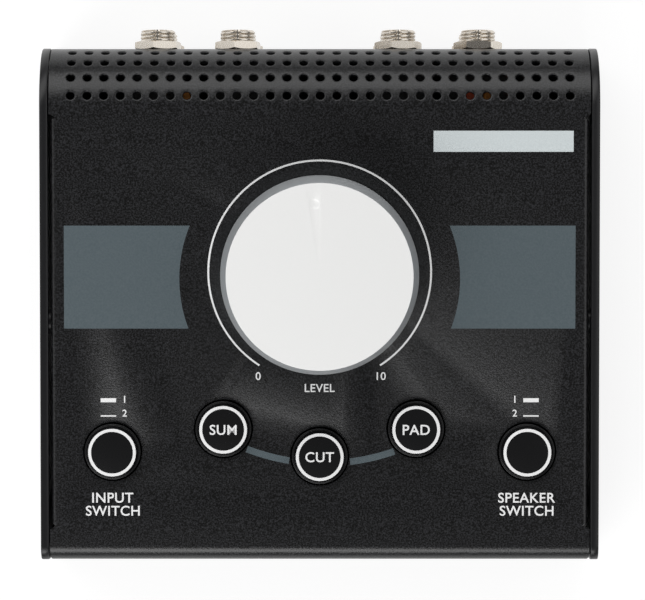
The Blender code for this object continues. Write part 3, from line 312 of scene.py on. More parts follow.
def add_prism(bm, outline, low, high, matrix=None):
    matrix = matrix or Matrix()
    face = bm.faces.new([bm.verts.new(matrix @ Vector((x, y, low))) for x, y in outline])
    rise = matrix.to_3x3() @ Vector((0.0, 0.0, high - low))
    grown = bmesh.ops.extrude_face_region(bm, geom=[face], use_keep_orig=True)["geom"]
    bmesh.ops.translate(bm, vec=rise, verts=[v for v in grown if isinstance(v, bmesh.types.BMVert)])


def add_tube(bm, rings, closed=False):
    """Faces between rings of vertices, with caps unless the tube closes on itself."""
    count = len(rings[0])
    pairs = list(zip(rings, rings[1:]))
    if closed:
        pairs.append((rings[-1], rings[0]))
    for first, second in pairs:
        for k in range(count):
            bm.faces.new([first[k], first[(k + 1) % count], second[(k + 1) % count], second[k]])
    if not closed:
        bm.faces.new(rings[0])
        bm.faces.new(rings[-1])


def fillet(outline, corner, radius, steps=5):
    """The outline with the point of that index rounded by an arc."""
    before, point, after = (Vector(outline[k]) for k in (corner - 1, corner, corner + 1))
    to_before = (before - point).normalized()
    to_after = (after - point).normalized()
    half = to_before.angle(to_after) / 2
    centre = point + (to_before + to_after).normalized() * radius / math.sin(half)
    start = (point + to_before * radius / math.tan(half) - centre) / radius
    end = (point + to_after * radius / math.tan(half) - centre) / radius
    arc = [tuple(centre + start.slerp(end, k / steps) * radius) for k in range(steps + 1)]
    return outline[:corner] + arc + outline[corner + 1:]


def finished(name, bm, look, body, replaced=(), sharp=SHARP_ANGLE, bevel=None):
    """The piece: smooth shading, optional small bevel, its body and what it stands for."""
    bmesh.ops.recalc_face_normals(bm, faces=bm.faces)
    mesh = bpy.data.meshes.new(name)
    bm.to_mesh(mesh)
    bm.free()
    mesh.materials.append(look)
    mesh.shade_smooth()
    mesh.set_sharp_from_angle(angle=math.radians(sharp))
    piece = new_object(name, mesh)
    if bevel:
        modifier = piece.modifiers.new("rounded edges", "BEVEL")
        modifier.width = bevel
        modifier.segments = 3
        modifier.limit_method = "ANGLE"
        modifier.angle_limit = math.radians(sharp)
        modifier.harden_normals = True
    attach(piece, body)
    if replaced:
        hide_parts(*replaced)
    return piece


def settle(piece):
    """Applies the piece's modifiers, so that later cuts keep their results."""
    bpy.context.view_layer.update()
    graph = bpy.context.evaluated_depsgraph_get()
    mesh = bpy.data.meshes.new_from_object(piece.evaluated_get(graph))
    piece.modifiers.clear()
    piece.data = mesh


def combine(piece, bm, operation="DIFFERENCE"):
    """Takes the shape in bm out of the piece, or adds it, or keeps what they share."""
    bmesh.ops.recalc_face_normals(bm, faces=bm.faces)
    mesh = bpy.data.meshes.new("tool")
    bm.to_mesh(mesh)
    bm.free()
    mesh.shade_smooth()
    tool = new_object("tool", mesh)
    modifier = piece.modifiers.new("combine", "BOOLEAN")
    modifier.operation = operation
    modifier.solver = "EXACT"
    modifier.object = tool
    settle(piece)
    bpy.data.objects.remove(tool)


def panel_box(node):
    """A node's lowest and highest corners in the panel's own axes."""
    back = PANEL.inverted()
    points = [back @ v.co for v in frame["nodes"][node].data.vertices]
    return (Vector(map(min, zip(*points))), Vector(map(max, zip(*points))))


def panel_place(node):
    """Where a turned node's axis stands on the panel, as (x, y) from the knob's axis."""
    low, high = panel_box(node)
    return ((low.x + high.x) / 2, (low.y + high.y) / 2)


button_places = {name: panel_place(name + "_plunger") for name in BUTTONS}


# Cover

def skin_point(s, depth):
    """The side view's (y, z) at length s along the outer face, depth below it."""
    if s <= 0:
        return COVER_REAR - depth, SHOULDER_Z + s
    if s <= PANEL_START:
        angle = s / SHOULDER_RADIUS
        reach = SHOULDER_RADIUS - depth
        return SHOULDER_Y + reach * math.cos(angle), SHOULDER_Z + reach * math.sin(angle)
    if s <= PANEL_END:
        reach = SHOULDER_RADIUS - depth
        along = s - PANEL_START
        return (SHOULDER_Y - reach * SIN - along * COS,
                SHOULDER_Z + reach * COS - along * SIN)
    if s <= LIP_START:
        angle = math.pi / 2 + SLOPE + (s - PANEL_END) / FRONT_RADIUS
        reach = FRONT_RADIUS - depth
        return FRONT_Y + reach * math.cos(angle), FRONT_Z + reach * math.sin(angle)
    return COVER_FRONT + depth, FRONT_Z - (s - LIP_START)


def sheet_point(x, s, depth):
    """A point of the bent sheet. Beside the panel, x beyond BEND_X runs down the flange."""
    flange = abs(x) - BEND_X
    if flange > 0 and FLANGE_START <= s <= FLANGE_END:
        angle = min(flange / FLANGE_BEND_RADIUS, math.pi / 2)
        straight = max(flange - FLANGE_BEND_RADIUS * math.pi / 2, 0.0)
        reach = FLANGE_BEND_RADIUS - depth
        x = math.copysign(BEND_X + reach * math.sin(angle), x)
        depth = FLANGE_BEND_RADIUS - reach * math.cos(angle) + straight
    y, z = skin_point(s, depth)
    return Vector((x, y, z))


class SheetMesh:
    """Collects faces on both sides of the sheet, and walls along its free edges."""

    def __init__(self):
        self.bm = bmesh.new()
        self.points = {}
        self.edges = {}

    def point(self, x, s, depth):
        key = (round(x, 7), round(s, 7), round(depth, 7))
        if key not in self.points:
            self.points[key] = self.bm.verts.new(sheet_point(x, s, depth))
        return self.points[key]

    def outer(self, tile):
        self.bm.faces.new([self.point(x, s, 0.0) for x, s in tile])
        self.note(tile)

    def inner(self, tile):
        self.bm.faces.new([self.point(x, s, SHEET) for x, s in reversed(tile)])

    def note(self, tile):
        keys = [(round(x, 7), round(s, 7)) for x, s in tile]
        for first, second in zip(keys, keys[1:] + keys[:1]):
            self.edges.setdefault(frozenset((first, second)), []).append((first, second))

    def both(self, tile):
        self.outer(tile)
        self.inner(tile)

    def close(self):
        """Walls along every edge of one tile alone."""
        for uses in self.edges.values():
            if len(uses) == 1:
                (x0, s0), (x1, s1) = uses[0]
                self.bm.faces.new([self.point(x1, s1, 0.0), self.point(x0, s0, 0.0),
                                   self.point(x0, s0, SHEET), self.point(x1, s1, SHEET)])


def vent_border(x, s):
    """The cell's border, one point for each spoke, from its low left corner."""
    per_side = VENT_SPOKES // 4
    points = []
    for k in range(VENT_SPOKES):
        side, step = divmod(k, per_side)
        share = step / per_side
        points.append([(x + share * VENT_PITCH_X, s),
                       (x + VENT_PITCH_X, s + share * VENT_PITCH),
                       (x + (1 - share) * VENT_PITCH_X, s + VENT_PITCH),
                       (x, s + (1 - share) * VENT_PITCH)][side])
    return points


def lip_edge_x(s):
    """Half the cover's width on the front bend, which narrows over its lower half."""
    middle = (PANEL_END + LIP_START) / 2
    share = min(max((s - middle) / (LIP_START - middle), 0.0), 1.0)
    return COVER_EDGE_X - LIP_SET_IN * share


# A vent's rounded rim: shares of its radius, and depths in millimetres
VENT_RIM = [(1.4, 0.0), (1.28, 0.02), (1.16, 0.08), (1.06, 0.2), (1.0, 0.42)]


def add_vent(sheet, x, s):
    """One cell of the vent grid: flat border, rounded rim, and the hole's wall.

    The first spoke points at the cell's low left corner, 3/8 of a turn before +X.
    """
    middle = (x + VENT_PITCH_X / 2, s + VENT_PITCH / 2)
    border = vent_border(x, s)
    rays = [(math.cos(a), math.sin(a)) for a in
            (math.tau * (k / VENT_SPOKES - 3 / 8) for k in range(VENT_SPOKES))]

    def ring(share, depth):
        radius = VENT_RADIUS * share
        return [(middle[0] + c * radius, middle[1] + d * radius, depth) for c, d in rays]

    rings = [[(px, ps, 0.0) for px, ps in border]]
    rim = ring(*VENT_RIM[0])
    rings.append([((bx + rx) / 2, (bs + rs) / 2, 0.0)
                  for (bx, bs, _), (rx, rs, _) in zip(rings[0], rim)])
    rings += [ring(share, depth * MM) for share, depth in VENT_RIM]
    rings.append(ring(1.0, SHEET))
    rings.append([(px, ps, SHEET) for px, ps in border])
    for low, high in zip(rings, rings[1:]):
        for k in range(VENT_SPOKES):
            after = (k + 1) % VENT_SPOKES
            sheet.bm.faces.new([sheet.point(*low[k]), sheet.point(*low[after]),
                                sheet.point(*high[after]), sheet.point(*high[k])])
    sheet.note(border)


def make_cover():
    sheet = SheetMesh()
    edge = COVER_EDGE_X
    first = edge - VENT_SIDE_MARGIN
    per_side = VENT_SPOKES // 4
    left = VENT_SHIFT - first
    right = VENT_SHIFT + first
    columns = [left + k * VENT_PITCH_X for k in range(VENT_COLUMNS)]
    for row in range(VENT_ROWS):
        low = -VENT_DROP + row * VENT_PITCH
        for x in columns:
            add_vent(sheet, x, low)
        for inner, outer in ((left, -edge), (right, edge)):
            for k in range(per_side):
                start = low + VENT_PITCH * k / per_side
                end = low + VENT_PITCH * (k + 1) / per_side
                sheet.both([(inner, start), (outer, start), (outer, end), (inner, end)])

    fine = [left + VENT_PITCH_X * k / per_side for k in range(VENT_COLUMNS * per_side + 1)]
    line = [-edge] + fine + [edge]
    vents_top = -VENT_DROP + VENT_ROWS * VENT_PITCH
    sheet.both([(edge, REAR_FOOT), (-edge, REAR_FOOT)] + [(x, -VENT_DROP) for x in line])
    sheet.both([(edge, PANEL_START), (-edge, PANEL_START)] + [(x, vents_top) for x in line])

    rear_tip = FLANGE_START - NOTCH_TIP
    front_tip = FLANGE_END + NOTCH_TIP
    side = [(edge, PANEL_START), (edge, rear_tip - NOTCH_SLANT), (BEND_X, rear_tip),
            (BEND_X, FLANGE_START), (BEND_X, FLANGE_END), (BEND_X, front_tip),
            (edge, front_tip + NOTCH_SLANT), (edge, PANEL_END)]
    sheet.both(side + [(-x, s) for x, s in reversed(side)])

    bend = FLANGE_BEND_RADIUS * math.pi / 2
    shares = [k / FLANGE_STEPS for k in range(FLANGE_STEPS + 1)]
    steps = [(BEND_X + bend * share, FLANGE_SLANT * share ** 2) for share in shares]
    steps.append((BEND_X + bend + FLANGE_DROP, FLANGE_SLANT))
    for (near, near_slant), (far, far_slant) in zip(steps, steps[1:]):
        for sign in (-1, 1):
            sheet.both([(sign * near, FLANGE_START + near_slant),
                        (sign * far, FLANGE_START + far_slant),
                        (sign * far, FLANGE_END - far_slant),
                        (sign * near, FLANGE_END - near_slant)])

    levels = [PANEL_END + (LIP_START - PANEL_END) * k / LIP_STEPS for k in range(LIP_STEPS + 1)]
    levels.append(LIP_FOOT)
    for start, end in zip(levels, levels[1:]):
        near = lip_edge_x(start)
        far = lip_edge_x(end)
        sheet.both([(-near, start), (near, start), (far, end), (-far, end)])
    sheet.close()
    cover = finished("cover_shell", sheet.bm, black_coat, "case", ["top_cover"])

    bm = bmesh.new()
    for x, y in button_places.values():
        add_hole(bm, BUTTON_HOLE_RADIUS, 96, PANEL @ at(x, y))
    add_hole(bm, POT_HOLE_RADIUS, 48, PANEL)
    for number in JACKS:
        x, z = jack_place(number)
        add_hole(bm, JACK_THREAD_RADIUS + SCREW_GAP, 64, at(x, COVER_REAR, z) @ TO_REAR)
    for side in SIDES:
        place = screw_place(side, "top")
        add_rod(bm, SCREW_RADIUS + SCREW_GAP, -SCREW_CUT_DEPTH, 0.0, 32, place)
    combine(cover, bm)
    cover.data.set_sharp_from_angle(angle=math.radians(SHARP_ANGLE))


def add_hole(bm, radius, segments, place):
    """A cutter through the sheet, with the coat's round edge at the top."""
    add_turned(bm, [(0.0, -2 * SHEET), (radius, -2 * SHEET), (radius, -EDGE),
                    (radius + 0.3 * EDGE, -0.3 * EDGE), (radius + EDGE, 0.0),
                    (radius + EDGE, SHEET), (0.0, SHEET)], segments, place)


def make_standoffs():
    bm = bmesh.new()
    board = panel_box("control_board")
    outline = [(0.0, board[0].z - STANDOFF_PIN_PROUD),
               (STANDOFF_PIN_RADIUS, board[0].z - STANDOFF_PIN_PROUD),
               (STANDOFF_PIN_RADIUS, board[1].z), (STANDOFF_RADIUS, board[1].z),
               (STANDOFF_RADIUS, -SHEET), (0.0, -SHEET)]
    for x in (board[0].x + STANDOFF_SIDE_INSET, board[1].x - STANDOFF_SIDE_INSET):
        for y in (board[1].y - STANDOFF_END_INSET, STANDOFF_FRONT_Y):
            add_turned(bm, outline, 24, PANEL @ at(x, y))
    finished("cover_standoffs", bm, steel, "case")


# Cheeks, screws, bottom plate and feet

CHEEK_PROUD = 0.1 * MM
CHEEK_EDGE_RADIUS = 0.3 * MM
CHEEK_ARC_STEPS = 48
BOSS_RADIUS = 3.4 * MM
BOSS_OVERLAP = 0.2 * MM
SCREW_RADIUS = 1.5 * MM
SCREW_HEAD_RADIUS = 2.75 * MM
SCREW_HEAD_DEPTH = 1.25 * MM
SCREW_HEAD_EDGE = 0.12 * MM
SCREW_TIP = 0.5 * MM
SCREW_TIP_SHARE = 0.7        # of the thread's radius
SCREW_GAP = 0.3 * MM
SCREW_CUT_DEPTH = 8 * MM
COUNTERSINK_EDGE = 0.05 * MM
CROSS_WIDTH = 0.75 * MM
CROSS_REACH = 1.45 * MM
CROSS_DEPTH = 1.0 * MM
CROSS_FLOOR_SHARE = 0.45     # of its reach at the top
CROSS_OVERRUN = 0.1 * MM
BOTTOM_BEND_RADIUS = 0.5 * MM
BOTTOM_EDGE_RADIUS = 0.1 * MM
FOOT_FACE_INSET = 0.7 * MM
FOOT_WAIST_INSET = 0.15 * MM
FOOT_WAIST_HEIGHT = 0.6 * MM
FOOT_WAIST_ROUND = 0.5 * MM
FOOT_FACE_ROUND = 0.4 * MM

STAND_SIDEWAYS = Matrix(((0, 0, 1, 0), (1, 0, 0, 0), (0, 1, 0, 0), (0, 0, 0, 1)))
STAND_LENGTHWAYS = Matrix(((1, 0, 0, 0), (0, 0, 1, 0), (0, 1, 0, 0), (0, 0, 0, 1)))


def screw_place(side, end):
    """The screw's axis. Local +Z points out of the case, from the cheek's outer face."""
    low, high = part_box(f"{side}_screw_{end}")
    x = low.x if side == "left" else high.x
    turn = Matrix.Rotation(math.copysign(math.pi / 2, x), 4, "Y")
    return at(x, (low.y + high.y) / 2, (low.z + high.z) / 2) @ turn


def make_cheek(side):
    low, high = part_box(side + "_cheek")
    outer, inner = (low.x, -COVER_EDGE_X) if side == "left" else (high.x, COVER_EDGE_X)
    inner += math.copysign(SCREW_GAP, inner)
    arcs = [k * PANEL_START / CHEEK_ARC_STEPS for k in range(CHEEK_ARC_STEPS + 1)]
    arcs += [PANEL_END + k * (LIP_START - PANEL_END) / LIP_STEPS for k in range(LIP_STEPS + 1)]
    outline = [skin_point(s, -CHEEK_PROUD) for s in arcs]
    outline += [(low.y, low.z), (high.y, low.z)]
    bm = bmesh.new()
    add_prism(bm, outline, min(outer, inner), max(outer, inner), STAND_SIDEWAYS)
    cheek = finished(side + "_cheek_plate", bm, cheek_coat, "case", [side + "_cheek"],
                     bevel=CHEEK_EDGE_RADIUS)
    settle(cheek)

    bm = bmesh.new()
    foot = -abs(outer) + FLANGE_X + SCREW_GAP
    for end in SCREW_ENDS:
        add_rod(bm, BOSS_RADIUS, foot, abs(inner) - abs(outer) + BOSS_OVERLAP, 48,
                screw_place(side, end))
    combine(cheek, bm, "UNION")
    bm = bmesh.new()
    for end in SCREW_ENDS:
        add_turned(bm, [(0.0, -SCREW_CUT_DEPTH), (SCREW_RADIUS + SCREW_GAP, -SCREW_CUT_DEPTH),
                        (SCREW_RADIUS + SCREW_GAP, -SCREW_HEAD_DEPTH),
                        (SCREW_HEAD_RADIUS + SCREW_GAP, -COUNTERSINK_EDGE),
                        (SCREW_HEAD_RADIUS + SCREW_GAP + 2 * COUNTERSINK_EDGE, COUNTERSINK_EDGE),
                        (0.0, COUNTERSINK_EDGE)], 64, screw_place(side, end))
    combine(cheek, bm)
    cheek.data.set_sharp_from_angle(angle=math.radians(SHARP_ANGLE))


def make_screw(side, end):
    low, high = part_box(f"{side}_screw_{end}")
    length = high.x - low.x
    edge = SCREW_HEAD_EDGE
    outline = [(0.0, -length), (SCREW_RADIUS * SCREW_TIP_SHARE, -length),
               (SCREW_RADIUS, -length + SCREW_TIP), (SCREW_RADIUS, -SCREW_HEAD_DEPTH),
               (SCREW_HEAD_RADIUS, -edge), (SCREW_HEAD_RADIUS - edge / 4, -edge / 4),
               (SCREW_HEAD_RADIUS - edge, 0.0), (0.0, 0.0)]
    place = screw_place(side, end)
    bm = bmesh.new()
    add_turned(bm, outline, 48, place)
    screw = finished(f"{side}_screw_{end}_head", bm, black_steel, "case",
                     [f"{side}_screw_{end}"])
    floor = CROSS_REACH * CROSS_FLOOR_SHARE
    for turn in (0.0, math.pi / 2):
        bm = bmesh.new()
        wing = [(-CROSS_REACH, CROSS_OVERRUN), (CROSS_REACH, CROSS_OVERRUN),
                (floor, -CROSS_DEPTH), (-floor, -CROSS_DEPTH)]
        add_prism(bm, wing, -CROSS_WIDTH / 2, CROSS_WIDTH / 2,
                  place @ Matrix.Rotation(turn + math.pi / 4, 4, "Z") @ STAND_LENGTHWAYS)
        combine(screw, bm)


def make_bottom():
    low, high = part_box("bottom_plate")
    top = low.z + SHEET
    rim = high.z
    inner = high.x - SHEET
    outline = [(high.x, rim), (high.x, low.z), (-high.x, low.z), (-high.x, rim),
               (-inner, rim), (-inner, top), (inner, top), (inner, rim)]
    outline = fillet(outline, 6, BOTTOM_BEND_RADIUS)
    outline = fillet(outline, 5, BOTTOM_BEND_RADIUS)
    outline = fillet(outline, 2, BOTTOM_BEND_RADIUS + SHEET)
    outline = fillet(outline, 1, BOTTOM_BEND_RADIUS + SHEET)
    bm = bmesh.new()
    add_prism(bm, outline, low.y, high.y, STAND_LENGTHWAYS)
    plate = finished("bottom_shell", bm, plate_coat, "case", ["bottom_plate"],
                     bevel=BOTTOM_EDGE_RADIUS)
    settle(plate)
    bm = bmesh.new()
    for side in SIDES:
        for end in ("front", "rear"):
            add_rod(bm, SCREW_RADIUS + SCREW_GAP, -SCREW_CUT_DEPTH, 0.0, 32, screw_place(side, end))
    combine(plate, bm)


def make_foot(corner):
    low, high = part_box(corner + "_foot")
    radius = (high.x - low.x) / 2
    height = high.z - low.z
    outline = [(0.0, 0.0), (radius - FOOT_FACE_INSET, 0.0),
               (radius - FOOT_WAIST_INSET, FOOT_WAIST_HEIGHT), (radius, height), (0.0, height)]
    outline = fillet(outline, 2, FOOT_WAIST_ROUND)
    outline = fillet(outline, 1, FOOT_FACE_ROUND)
    bm = bmesh.new()
    add_turned(bm, outline, 64, at((low.x + high.x) / 2, (low.y + high.y) / 2, low.z))
    finished(corner + "_rubber", bm, foot_rubber, "case", [corner + "_foot"])


# Volume knob

KNOB_SHOULDER = 13.0 * MM
KNOB_FACE_RADIUS = 24.6 * MM
KNOB_EDGE = 0.15 * MM
KNOB_RIM_ROUND = 0.3 * MM
KNOB_SHOULDER_ROUND = 3.0 * MM
KNOB_INSERT_GAP = 0.3 * MM
KNOB_WALL = 3.6 * MM
KNOB_ROOF = 4.5 * MM
HUB_RADIUS = 8.5 * MM
HUB_FOOT = 5.6 * MM
DIMPLE_RADIUS = 1.4 * MM
DIMPLE_DEPTH = 0.3 * MM
DIMPLE_OFFSET = 19.1 * MM
DIMPLE_ANGLE = math.radians(3.9)
SHADED_WALL_BELOW = 0.7           # faces that lean further from the axis take the wall copy: real turned grain, but its darker colour is painted shade


def make_knob():
    low, high = panel_box("volume_knob")
    bore = panel_box("knob_insert")[1].x + KNOB_INSERT_GAP
    ceiling = high.z - KNOB_ROOF
    outline = [(0.0, high.z), (KNOB_FACE_RADIUS, high.z), (high.x, KNOB_SHOULDER),
               (high.x, low.z), (high.x - KNOB_WALL, low.z),
               (high.x - KNOB_WALL, KNOB_SHOULDER), (KNOB_FACE_RADIUS - KNOB_WALL, ceiling),
               (HUB_RADIUS, ceiling), (HUB_RADIUS, HUB_FOOT), (bore, HUB_FOOT),
               (bore, ceiling), (0.0, ceiling)]
    outline = fillet(outline, 4, KNOB_RIM_ROUND, 3)
    outline = fillet(outline, 3, KNOB_RIM_ROUND, 3)
    outline = fillet(outline, 2, KNOB_SHOULDER_ROUND, 6)
    outline = fillet(outline, 1, KNOB_EDGE, 8)
    bm = bmesh.new()
    add_turned(bm, outline, 192, PANEL)
    knob = finished("volume_knob_shell", bm, knob_satin, "volume", ["volume_knob"],
                    sharp=50)
    sphere = (DIMPLE_RADIUS ** 2 + DIMPLE_DEPTH ** 2) / (2 * DIMPLE_DEPTH)
    bm = bmesh.new()
    place = at(DIMPLE_OFFSET * math.sin(-DIMPLE_ANGLE), DIMPLE_OFFSET * math.cos(DIMPLE_ANGLE),
               high.z + sphere - DIMPLE_DEPTH)
    bmesh.ops.create_uvsphere(bm, u_segments=64, v_segments=64, radius=sphere,
                              matrix=PANEL @ place)
    combine(knob, bm)
    knob.data.set_sharp_from_angle(angle=math.radians(25))
    knob.data.materials.clear()
    knob.data.materials.append(knob_satin)
    knob.data.materials.append(knob_shaded_turned_wall)
    # Painted shade: faces that lean away from the axis take the darker wall copy of the knob's
    # silver
    for face in knob.data.polygons:
        face.material_index = int(face.normal.dot(NORMAL) < SHADED_WALL_BELOW)


# Push buttons

BUTTON_TOP_RADIUS = 6.45 * MM
BUTTON_FLARE_RADIUS = 7.05 * MM
BUTTON_LEDGE = 0.45 * MM
BUTTON_WALL = 1.1 * MM
BUTTON_ROOF = 2.0 * MM
BUTTON_SKIRT_ROUND = 0.2 * MM
BUTTON_LEDGE_ROUND = 0.15 * MM
BUTTON_TOP_ROUND = 0.2 * MM
RING_INNER = 5.6 * MM
RING_OUTER = 6.39 * MM
RING_SLOPE = 0.12 * MM
RING_DROP = 0.15 * MM
PRINT = 0.03 * MM            # thickness of everything printed
PRINT_SINK = 0.2 * PRINT     # how far a print reaches into what it is on
SPRING_WIRE = 0.2 * MM
SPRING_TURNS = 3
SPRING_POINTS = 24           # along each turn
WIRE_SIDES = 10


def make_button(name):
    x, y = button_places[name]
    axis = PANEL @ at(x, y)
    low, high = panel_box(name + "_button")
    radius = (high.x - low.x) / 2
    inner = radius - BUTTON_WALL
    ceiling = high.z - BUTTON_ROOF
    outline = [(0.0, high.z), (BUTTON_TOP_RADIUS, high.z), (BUTTON_FLARE_RADIUS, BUTTON_LEDGE),
               (radius, BUTTON_LEDGE), (radius, low.z), (inner, low.z), (inner, ceiling),
               (0.0, ceiling)]
    outline = fillet(outline, 3, BUTTON_SKIRT_ROUND, 4)
    outline = fillet(outline, 2, BUTTON_LEDGE_ROUND, 4)
    outline = fillet(outline, 1, BUTTON_TOP_ROUND, 4)
    bm = bmesh.new()
    add_turned(bm, outline, 96, axis)
    finished(name + "_cap", bm, button_plastic, name, [name + "_button"],
             sharp=60)

    bm = bmesh.new()
    add_turned(bm, [(RING_INNER, high.z), (RING_INNER, high.z + PRINT),
                    (RING_OUTER - RING_SLOPE, high.z + PRINT), (RING_OUTER, high.z),
                    (RING_OUTER - RING_SLOPE, high.z - RING_DROP)], 96, axis, closed=True)
    finished(name + "_ring", bm, print_white, name, sharp=60)


def make_spring(name):
    x, y = button_places[name]
    low, high = panel_box(name + "_spring")
    axis = PANEL @ at(x, y)
    radius = (high.x - low.x) / 2 - SPRING_WIRE
    foot = low.z + SPRING_WIRE
    rise = high.z - low.z - 2 * SPRING_WIRE
    count = SPRING_TURNS * SPRING_POINTS
    bm = bmesh.new()
    rings = []
    for k in range(count + 1):
        angle = math.tau * k / SPRING_POINTS
        ring = []
        for step in range(WIRE_SIDES):
            lean = math.tau * step / WIRE_SIDES
            out = radius + SPRING_WIRE * math.cos(lean)
            ring.append(bm.verts.new(axis @ Vector((
                out * math.cos(angle), out * math.sin(angle),
                foot + rise * k / count + SPRING_WIRE * math.sin(lean)))))
        rings.append(ring)
    add_tube(bm, rings)
    spring = finished(name + "_coil", bm, steel, "case", [name + "_spring"])
    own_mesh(spring)


# Jacks

JACK_THREAD_RADIUS = 4.75 * MM
JACK_BORE_RADIUS = 3.3 * MM
JACK_NUT_FLATS = 11.5 * MM
JACK_NUT_TURNS = (21.0, 23.0, 13.0, 0.0, 0.0, 0.0, 0.0, 0.0)      # in degrees
JACK_GAP = 0.3 * MM          # between the cover's sheet and a jack's body
JACK_FLOOR = 1.5 * MM
JACK_EDGE_RADIUS = 0.4 * MM
BORE_OVERRUN = 1.0 * MM
MOUTH_WIDENING = 0.35 * MM
MOUTH_DEPTH = 0.3 * MM
THREAD_PITCH = 1.0 * MM
THREAD_DEPTH = 0.45 * MM
THREAD_RINGS = 10            # along each turn
THREAD_STEEPNESS = 2.4       # of its sides, which leaves its crests flat
THREAD_SLOT = 0.35 * MM
THREAD_SLOT_SHARE = 1.4      # of the thread's depth
SLEEVE_WALL = 0.35 * MM
SLEEVE_GAP = 0.01 * MM
SLEEVE_FOOT = 0.2 * MM
SLEEVE_SET_IN = 0.5 * MM
SLEEVE_EDGE = (0.1 * MM, 0.2 * MM)
NUT_BORE_GAP = 0.05 * MM
NUT_CHAMFER = 0.35 * MM
NUT_BORE_CHAMFER = 0.3 * MM
NUT_OVERRUN = 0.1 * MM
PIN_SPREAD = 4.0 * MM
PIN_HALF = 0.4 * MM
PIN_LENGTH = 2.0 * MM
PIN_ROOT = 0.2 * MM


def jack_place(number):
    low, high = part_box(f"jack_{number}")
    return (low.x + high.x) / 2, (low.z + high.z) / 2


def make_jack(number):
    x, z = jack_place(number)
    low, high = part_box(f"jack_{number}")
    body_rear = COVER_REAR - SHEET - JACK_GAP
    axis = at(x, body_rear, z) @ TO_REAR
    mouth = high.y - body_rear
    body_front = low.y + PIN_LENGTH - body_rear
    half = (high.x - low.x) / 2, (high.z - low.z) / 2

    bm = bmesh.new()
    add_box(bm, (-half[0], -half[1], body_front), (half[0], half[1], 0.0), axis)
    body = finished(f"jack_{number}_body", bm, jack_black_and_shade, "case", [f"jack_{number}"],
                    bevel=JACK_EDGE_RADIUS)
    settle(body)
    bm = bmesh.new()
    add_rod(bm, JACK_BORE_RADIUS, body_front + JACK_FLOOR, BORE_OVERRUN, 48, axis)
    combine(body, bm)

    bm = bmesh.new()
    for spread in (-PIN_SPREAD, 0.0, PIN_SPREAD):
        add_box(bm, (spread - PIN_HALF, -PIN_HALF, body_front - PIN_LENGTH),
                (spread + PIN_HALF, PIN_HALF, body_front + PIN_ROOT), axis)
    finished(f"jack_{number}_pins", bm, steel, "case")

    add_thread(f"jack_{number}_thread", axis, mouth)
    bm = bmesh.new()
    outer = JACK_BORE_RADIUS - SLEEVE_GAP
    inner = JACK_BORE_RADIUS - SLEEVE_WALL
    rim = mouth - SLEEVE_SET_IN
    add_turned(bm, [(outer, SLEEVE_FOOT), (outer, rim), (inner + SLEEVE_EDGE[0], rim),
                    (inner, rim - SLEEVE_EDGE[1]), (inner, SLEEVE_FOOT)], 64, axis, closed=True)
    finished(f"jack_{number}_sleeve", bm, jack_black_and_shade, "case")


def add_thread(name, axis, mouth):
    """The threaded nose: a wall whose outer side follows the thread, with its bore."""
    around = 96
    steps = round(mouth / (THREAD_PITCH / THREAD_RINGS))
    bm = bmesh.new()
    rings = []
    for level in range(steps + 1):
        height = mouth * level / steps
        ring = []
        for k in range(around):
            angle = math.tau * k / around
            phase = (height / THREAD_PITCH - k / around) % 1.0
            ridge = 1.0 - abs(2 * phase - 1.0)
            radius = JACK_THREAD_RADIUS - THREAD_DEPTH * (1.0 - min(1.0, THREAD_STEEPNESS * ridge))
            radius = min(radius, JACK_THREAD_RADIUS - THREAD_DEPTH + mouth - height)
            across = JACK_THREAD_RADIUS * math.cos(angle)
            if abs(across) < THREAD_SLOT and math.sin(angle) < 0:
                radius = JACK_THREAD_RADIUS - THREAD_DEPTH * THREAD_SLOT_SHARE
            ring.append(bm.verts.new(axis @ Vector((radius * math.cos(angle),
                                                    radius * math.sin(angle), height))))
        rings.append(ring)
    for radius, height in ((JACK_BORE_RADIUS + MOUTH_WIDENING, mouth),
                           (JACK_BORE_RADIUS, mouth - MOUTH_DEPTH), (JACK_BORE_RADIUS, 0.0)):
        rings.append(add_ring(bm, radius, height, around, axis))
    add_tube(bm, rings, closed=True)
    finished(name, bm, nickel, "case", sharp=60)


def hexagon(flats):
    reach = flats / math.sqrt(3.0)
    return [(reach * math.cos(k * math.pi / 3), reach * math.sin(k * math.pi / 3))
            for k in range(6)]


def make_nut(number):
    low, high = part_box(f"jack_{number}_nut")
    x, z = jack_place(number)
    turn = math.radians(JACK_NUT_TURNS[number - 1])
    axis = at(x, low.y, z) @ TO_REAR @ Matrix.Rotation(turn, 4, "Z")
    thick = high.y - low.y
    reach = JACK_NUT_FLATS / math.sqrt(3.0) + NUT_OVERRUN
    flat = JACK_NUT_FLATS / 2 + NUT_OVERRUN
    bore = JACK_THREAD_RADIUS + NUT_BORE_GAP
    bm = bmesh.new()
    add_prism(bm, hexagon(JACK_NUT_FLATS), 0.0, thick, axis)
    nut = finished(f"jack_{number}_hexagon", bm, nickel, "case", [f"jack_{number}_nut"],
                   sharp=20)
    bm = bmesh.new()
    add_turned(bm, [(bore, 0.0), (flat, 0.0), (reach, NUT_CHAMFER),
                    (reach, thick - NUT_CHAMFER), (flat, thick),
                    (bore + NUT_BORE_CHAMFER, thick), (bore, thick - NUT_BORE_CHAMFER)],
               96, axis, closed=True)
    combine(nut, bm, "INTERSECT")
    nut.data.set_sharp_from_angle(angle=math.radians(20))


# Film capacitors on the upper jacks, seen through the vents

CAPACITOR_SIZE = (7.2 * MM, 3.6 * MM)
CAPACITOR_TOP = 36.6 * MM
CAPACITOR_Y = 52.8 * MM
CAPACITOR_GAP = 0.3 * MM     # over the jack that carries it
CAPACITOR_ROUND = 0.7 * MM
CAPACITORS = {"orange_capacitor_1": (-36.6 * MM, film_orange),
              "red_capacitor": (41.0 * MM, film_red),
              "orange_capacitor_2": (46.0 * MM, film_orange)}


